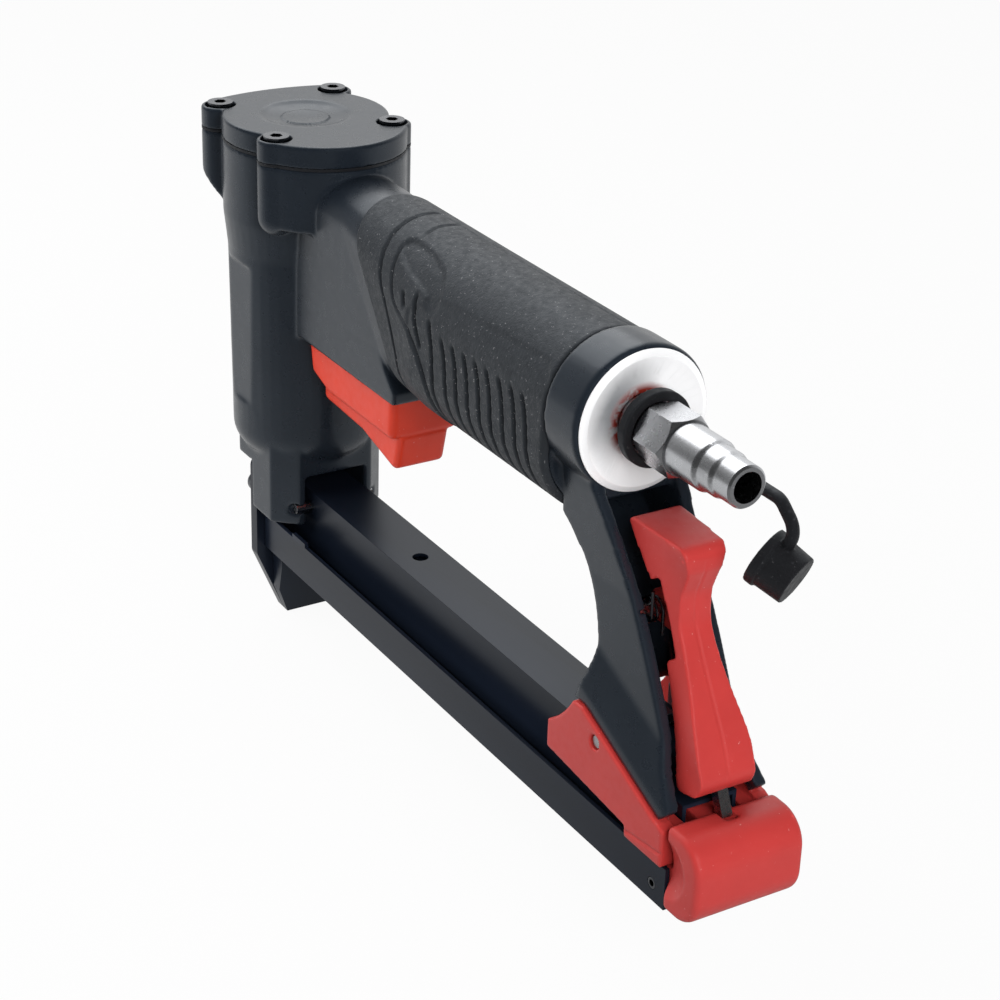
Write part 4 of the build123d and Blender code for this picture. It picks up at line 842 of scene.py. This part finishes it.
class STAPLER_OT_grip(bpy.types.Operator):
    """Mould the grained rubber sleeve of the handle with its panel, recess and ribs"""

    bl_idname = "stapler.grip"
    bl_label = "Grip sleeve"

    around = 256
    swell_rows = 80
    full_rows = 166
    inner_rows = 10
    front_round = 0.9
    edge_round = 1.5

    def execute(self, context):
        self.size = context.scene.stapler_grip
        self.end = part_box("grip_sleeve")[1].x
        girth = np.linspace(-1, 1, self.around, endpoint=False) * self.half_girth()
        swell = np.linspace(self.size.start, 1, self.swell_rows, endpoint=False)
        full = 1 + np.linspace(0, 1, self.full_rows)
        outer = np.concatenate([swell, full])
        inner = np.linspace(full[-1], self.size.start, self.inner_rows)
        places = np.concatenate([self.outer_skin(girth, outer), self.inner_skin(girth, inner)], 1)
        bpy.ops.object.select_all(action="DESELECT")
        bpy.ops.mesh.primitive_torus_add(major_segments=self.around, minor_segments=places.shape[1])
        piece = context.object
        piece.name = "grip_rubber"
        piece.data.vertices.foreach_set("co", places.ravel())
        bpy.ops.object.mode_set(mode="EDIT")
        bpy.ops.mesh.select_all(action="SELECT")
        bpy.ops.mesh.normals_make_consistent(inside=False)
        bpy.ops.object.mode_set(mode="OBJECT")
        bpy.ops.object.shade_smooth()
        settle(piece, "base", "grip_sleeve", finishes()["grip"])
        return {"FINISHED"}

    def half_girth(self):
        outer = (self.size.full_half + self.size.full_skin) / MM
        return math.pi * outer + (self.size.full_depth - 2 * self.size.full_half) / MM

    def skin(self, girth, station, front_grow, full_grow):
        """Points on the handle's skin, and the ways out of it."""
        size = self.size
        outer = (size.full_half + size.full_skin) / MM
        arc, line = math.pi * outer / 2, (size.full_depth - 2 * size.full_half) / MM
        reach = np.abs(girth)
        upper = np.clip(reach / arc, 0, 1) * math.pi / 2
        lower = np.clip((reach - arc - line) / arc, 0, 1) * math.pi / 2
        middle = 1 - 2 * np.clip((reach - arc) / line, 0, 1)
        side_way = np.sign(girth) * np.sin(upper) * np.cos(lower)
        up_way = np.cos(upper) - np.sin(lower)
        top, foot = np.array(size.front_top), np.array(size.front_foot)
        tilt = (top - foot) / np.linalg.norm(top - foot)
        front_half, full_half = size.front_half + front_grow, size.full_half + full_grow
        front_line = np.linalg.norm(top - foot) / 2 + front_grow - front_half
        front_up = front_line * middle + front_half * up_way
        full_up = (size.full_depth / 2 + full_grow - full_half) * middle + full_half * up_way
        share = np.clip(station, 0, 1)
        behind = np.clip(station - 1, 0, 1) * (self.end - size.full_along)
        centre = (top + foot) / 2
        along = (centre[0] + tilt[0] * front_up) * (1 - share) + size.full_along * share + behind
        side = side_way * (front_half * (1 - share) + full_half * share)
        up = (centre[1] + tilt[1] * front_up) * (1 - share) + (size.full_level + full_up) * share
        along_way, rise_way = (1 - share) * tilt[0] * up_way, ((1 - share) * tilt[1] + share) * up_way
        ways = np.stack(np.broadcast_arrays(along_way, side_way, rise_way), -1)
        ways /= np.linalg.norm(ways, axis=-1, keepdims=True)
        return np.stack([along, side, up], -1), ways

    def station(self, place):
        """A pattern's station on the scale of the rows: 0 to 1 on the swell, 1 to 2 behind it."""
        begin, end = self.size.full_along / MM, self.end / MM
        return place if place <= 1 else 1 + (place - begin) / (end - begin)

    def laid(self, points):
        """A pattern's line as points on the outer skin, in mm."""
        line = rounded([(self.station(place), girth) for place, girth in points])
        line, _, _ = dotted(line * (STATION_MM, 1.0), 0.5)
        station = line[:, 0] / STATION_MM
        return self.skin(line[:, 1], station, self.size.front_skin, self.size.full_skin)[0] / MM

    def grooves(self):
        rib = self.size.rib / MM
        lines = [
            (self.laid(BORDER), *BORDER_CUT),
            (self.laid(ARC), *ARC_CUT),
            (self.laid(PARTING), *PARTING_CUT),
            (self.laid([(place, -girth) for place, girth in BORDER[2:]]), *FAR_BORDER_CUT),
        ]
        ribs = [*SHORT_RIBS, FIRST_RIB]
        ribs += [[(place + shift, girth) for shift, girth in RIB] for place in RIB_PLACES]
        for hand in (1, -1):
            inner = [(place, hand * girth) for place, girth in INNER]
            lines.append((self.laid(inner), *INNER_CUT))
            for line in ribs:
                ended = 0.0 if line[-1][1] < RIB_RUNS_OUT else RIB_FADES[1]
                drawn = [(place, hand * girth) for place, girth in line]
                lines.append((self.laid(drawn), RIB_HALF, rib, RIB_FADES[0], ended))
        return lines

    def sunk(self, points, girth, station, soft):
        """1 inside an area of the pattern, 0 outside it, with a soft edge."""
        closed = (*points, points[0])
        corners = rounded([(STATION_MM * self.station(place), way) for place, way in closed], 2)
        x, y = np.broadcast_arrays(STATION_MM * station, girth)
        inside = np.zeros(x.shape, bool)
        away = np.full(x.shape, np.inf)
        for (x0, y0), (x1, y1) in zip(corners[:-1], corners[1:]):
            run = np.hypot(x1 - x0, y1 - y0) ** 2 or 1.0
            share = np.clip(((x - x0) * (x1 - x0) + (y - y0) * (y1 - y0)) / run, 0, 1)
            away = np.minimum(away, np.hypot(x - x0 - share * (x1 - x0), y - y0 - share * (y1 - y0)))
            if y0 != y1:
                inside ^= ((y0 > y) != (y1 > y)) & (x < x0 + (y - y0) * (x1 - x0) / (y1 - y0))
        level = np.clip(0.5 + np.where(inside, away, -away) / soft, 0, 1)
        return level * level * (3 - 2 * level)

    def outer_skin(self, girth, station):
        """The patterned skin with rounded ends, one ring of rows for each girth."""
        size = self.size
        girths, stations = np.meshgrid(girth, station, indexing="ij")
        places, ways = self.skin(girths, stations, size.front_skin, size.full_skin)
        depth = pressed(places.reshape(-1, 3) / MM, self.grooves()).reshape(girths.shape) * MM
        depth += size.recess * self.sunk(RECESS, girths, stations, RECESS_EDGE)
        depth += size.field * self.sunk(FIELD, -np.abs(girths), stations, FIELD_EDGE)
        for end, curve in ((0, self.front_round), (-1, self.edge_round)):
            from_end = np.linalg.norm(places - places[:, [end]], axis=-1) / MM
            depth += MM * curve * (1 - np.sqrt(1 - np.clip(1 - from_end / curve, 0, 1) ** 2))
        return places - ways * depth[..., None]

    def inner_skin(self, girth, station):
        girths, stations = np.meshgrid(girth, station, indexing="ij")
        return self.skin(girths, stations, self.size.fit, self.size.fit)[0]


class STAPLER_OT_works(bpy.types.Operator):
    """Finish the pieces inside the tool and its bare metal"""

    bl_idname = "stapler.works"
    bl_label = "Inner works"

    def execute(self, context):
        look = finishes()
        parts = {
            "steel": [
                "driver_blade", "pusher_rod", "bracket_pin", "latch_pin", "trigger_pin", "hook_leaves",
                "magazine_dowels",
            ],
            "aluminium": ["cylinder_sleeve", "piston"],
            "brass": ["trigger_valve", "valve_stem"],
            "white": ["head_valve"],
            "oxide": ["latch_spring"],
        }
        for finish, nodes in parts.items():
            for node in nodes:
                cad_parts[node].data.materials.clear()
                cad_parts[node].data.materials.append(look[finish])
        return {"FINISHED"}


# Coil springs: node, piece, body, joint that shortens it, the way along it, and the joint's travel in mm

COILS = (
    ("head_valve_spring", "head_valve_coil", "base", "head_valve_lift", (0, 0, 1), 2.5),
    ("valve_spring", "valve_coil", "base", "stem_travel", (0, 0, 1), 3.1),
    ("pusher_spring", "pusher_coil", "magazine", "pusher_slide", (1, 0, 0), 110.0),
)


class STAPLER_OT_coils(bpy.types.Operator):
    """Smooth-shade copies of the coil springs and give them their wire finish and body"""

    bl_idname = "stapler.coils"
    bl_label = "Coil springs"

    def execute(self, context):
        wire = finishes()["wire"]
        for node, name, body, joint, way, travel in COILS:
            coil = merged_copy(node, name)
            bpy.ops.object.shade_smooth()
            settle(coil, body, node, wire)
            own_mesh(coil)
        return {"FINISHED"}


# Stage: where the lit table and backdrop fade into the room, and how bright the floor is

TABLE_EDGE = (0.06, 0.24)
TABLE_GLOW = (0.88, 0.03)
FLOOR_GREY = (0.55, 0.55, 0.55, 1.0)
FLOOR_MIRRORED = 0.75
FLOOR_SEEN = 0.95
ROOM_EDGE = (-0.85, 0.0)
WHITE = (1.0, 1.0, 1.0, 1.0)


def backdrop_finish():
    """Pale floor that shows white to the camera and keeps a faint shadow."""
    made, tree, shader = start_finish("pale_floor", {"Base Color": FLOOR_GREY, "Roughness": 0.9})
    glow = tree.nodes.new("ShaderNodeEmission")
    mix = tree.nodes.new("ShaderNodeMixShader")
    away = tree.nodes.new("ShaderNodeVectorMath")
    away.operation = "DOT_PRODUCT"
    away.inputs[1].default_value = bpy.context.scene.stapler_stage.room_way
    tree.links.new(place(tree), away.inputs[0])
    table = spread(tree, away.outputs["Value"], *TABLE_EDGE, *TABLE_GLOW)
    reflected = ray_kind(tree, "Is Glossy Ray", "Is Transmission Ray")
    tree.links.new(choose(tree, reflected, 1.0, table), glow.inputs["Strength"])
    mirrored = choose(tree, reflected, 0.0, FLOOR_MIRRORED)
    seen = choose(tree, ray_kind(tree, "Is Camera Ray"), mirrored, FLOOR_SEEN)
    tree.links.new(seen, mix.inputs["Fac"])
    tree.links.new(shader.outputs["BSDF"], mix.inputs[1])
    tree.links.new(glow.outputs["Emission"], mix.inputs[2])
    tree.links.new(mix.outputs["Shader"], tree.nodes["Material Output"].inputs["Surface"])
    return made


def ray_kind(tree, *names):
    """1 for rays of any of the named kinds, and 0 for the rest."""
    path = tree.nodes.new("ShaderNodeLightPath")
    total = path.outputs[names[0]]
    for name in names[1:]:
        either = tree.nodes.new("ShaderNodeMath")
        either.operation = "MAXIMUM"
        tree.links.new(total, either.inputs[0])
        tree.links.new(path.outputs[name], either.inputs[1])
        total = either.outputs["Value"]
    return total


def choose(tree, switch, off, on):
    """One value where the switch is 0 and another where it is 1."""
    made = tree.nodes.new("ShaderNodeMix")
    tree.links.new(switch, made.inputs["Factor"])
    for socket, value in (("A", off), ("B", on)):
        target = next(s for s in made.inputs if s.name == socket and s.type == "VALUE")
        if isinstance(value, float):
            target.default_value = value
        else:
            tree.links.new(value, target)
    return next(s for s in made.outputs if s.type == "VALUE")


class STAPLER_OT_stage(bpy.types.Operator):
    """Set up the camera, the pale floor and the soft lamps"""

    bl_idname = "stapler.stage"
    bl_label = "Camera, floor and lamps"

    def execute(self, context):
        scene = context.scene
        stage = scene.stapler_stage
        scene.view_settings.view_transform = "Standard"
        camera = bpy.data.cameras.new("photo_camera")
        camera.sensor_width = stage.sensor
        camera.lens = stage.lens
        camera.clip_start = stage.near
        viewer = bpy.data.objects.new("photo_camera", camera)
        viewer.location = stage.camera_place
        viewer.rotation_euler = stage.camera_turn
        scene.collection.objects.link(viewer)
        scene.camera = viewer
        self.floor(stage)
        self.surround(scene, stage)
        for name, spot, size, power, mirrored in (
            ("key_lamp", (-0.38, -0.48, 0.42), 0.7, stage.key_power, False),
            ("top_lamp", (-0.45, 0.10, 0.85), 0.9, stage.top_power, True),
            ("fill_lamp", (1.00, -0.12, 0.50), 0.7, stage.fill_power, False),
        ):
            self.lamp(scene, name, spot, size, power).visible_glossy = mirrored
        return {"FINISHED"}

    def floor(self, stage):
        bpy.ops.object.select_all(action="DESELECT")
        bpy.ops.mesh.primitive_plane_add(size=2 * stage.floor_half)
        plane = bpy.context.object
        plane.name = "studio_floor"
        plane.location.z = CAD_BOX[0].z - stage.floor_gap
        plane.data.materials.append(backdrop_finish())

    def surround(self, scene, stage):
        world = bpy.data.worlds.new("white_surround")
        scene.world = world
        world.use_nodes = True
        tree = world.node_tree
        back = tree.nodes["Background"]
        back.inputs["Color"].default_value = WHITE
        coords = tree.nodes.new("ShaderNodeTexCoord")
        way = tree.nodes.new("ShaderNodeVectorMath")
        way.operation = "DOT_PRODUCT"
        way.inputs[1].default_value = stage.room_way
        tree.links.new(coords.outputs["Generated"], way.inputs[0])
        studio = spread(tree, way.outputs["Value"], *ROOM_EDGE, 1.0, stage.room)
        reflected = ray_kind(tree, "Is Glossy Ray", "Is Transmission Ray")
        mirrored = choose(tree, reflected, stage.ambient, studio)
        seen = choose(tree, ray_kind(tree, "Is Camera Ray"), mirrored, 1.0)
        tree.links.new(seen, back.inputs["Strength"])

    def lamp(self, scene, name, spot, size, power):
        light = bpy.data.lights.new(name, "AREA")
        light.energy = power
        light.size = size
        holder = bpy.data.objects.new(name, light)
        holder.location = spot
        middle = (CAD_BOX[0] + CAD_BOX[1]) / 2
        holder.rotation_euler = (middle - holder.location).to_track_quat("-Z", "Y").to_euler()
        scene.collection.objects.link(holder)
        return holder


class STAPLER_PT_panel(bpy.types.Panel):
    """Lists the stapler's pieces, sizes and colours."""

    bl_idname = "STAPLER_PT_panel"
    bl_label = "Stapler"
    bl_space_type = "VIEW_3D"
    bl_region_type = "UI"
    bl_category = "Stapler"

    def draw(self, context):
        for operator in OPERATORS:
            self.layout.operator(operator.bl_idname)
        for group in GROUPS:
            holder = getattr(context.scene, group)
            for key in holder.bl_rna.properties.keys():
                if key not in {"rna_type", "name"}:
                    self.layout.prop(holder, key)


OPERATORS = (
    STAPLER_OT_stage,
    STAPLER_OT_castings,
    STAPLER_OT_gaskets,
    STAPLER_OT_plastics,
    STAPLER_OT_magazine,
    STAPLER_OT_screws,
    STAPLER_OT_inlet,
    STAPLER_OT_dust_cap,
    STAPLER_OT_grip,
    STAPLER_OT_works,
    STAPLER_OT_coils,
)
GROUPS = {
    "stapler_finish": StaplerFinish,
    "stapler_edges": StaplerEdges,
    "stapler_grip": StaplerGrip,
    "stapler_stage": StaplerStage,
}


def register():
    for group in (*GROUPS.values(), *OPERATORS, STAPLER_PT_panel):
        bpy.utils.register_class(group)
    for name, group in GROUPS.items():
        setattr(bpy.types.Scene, name, PointerProperty(type=group))


def unregister():
    for name in GROUPS:
        delattr(bpy.types.Scene, name)
    for group in reversed((*GROUPS.values(), *OPERATORS, STAPLER_PT_panel)):
        bpy.utils.unregister_class(group)


def main():
    register()
    for operator in OPERATORS:
        family, name = operator.bl_idname.split(".")
        getattr(getattr(bpy.ops, family), name)()


if __name__ == "__main__":
    main()
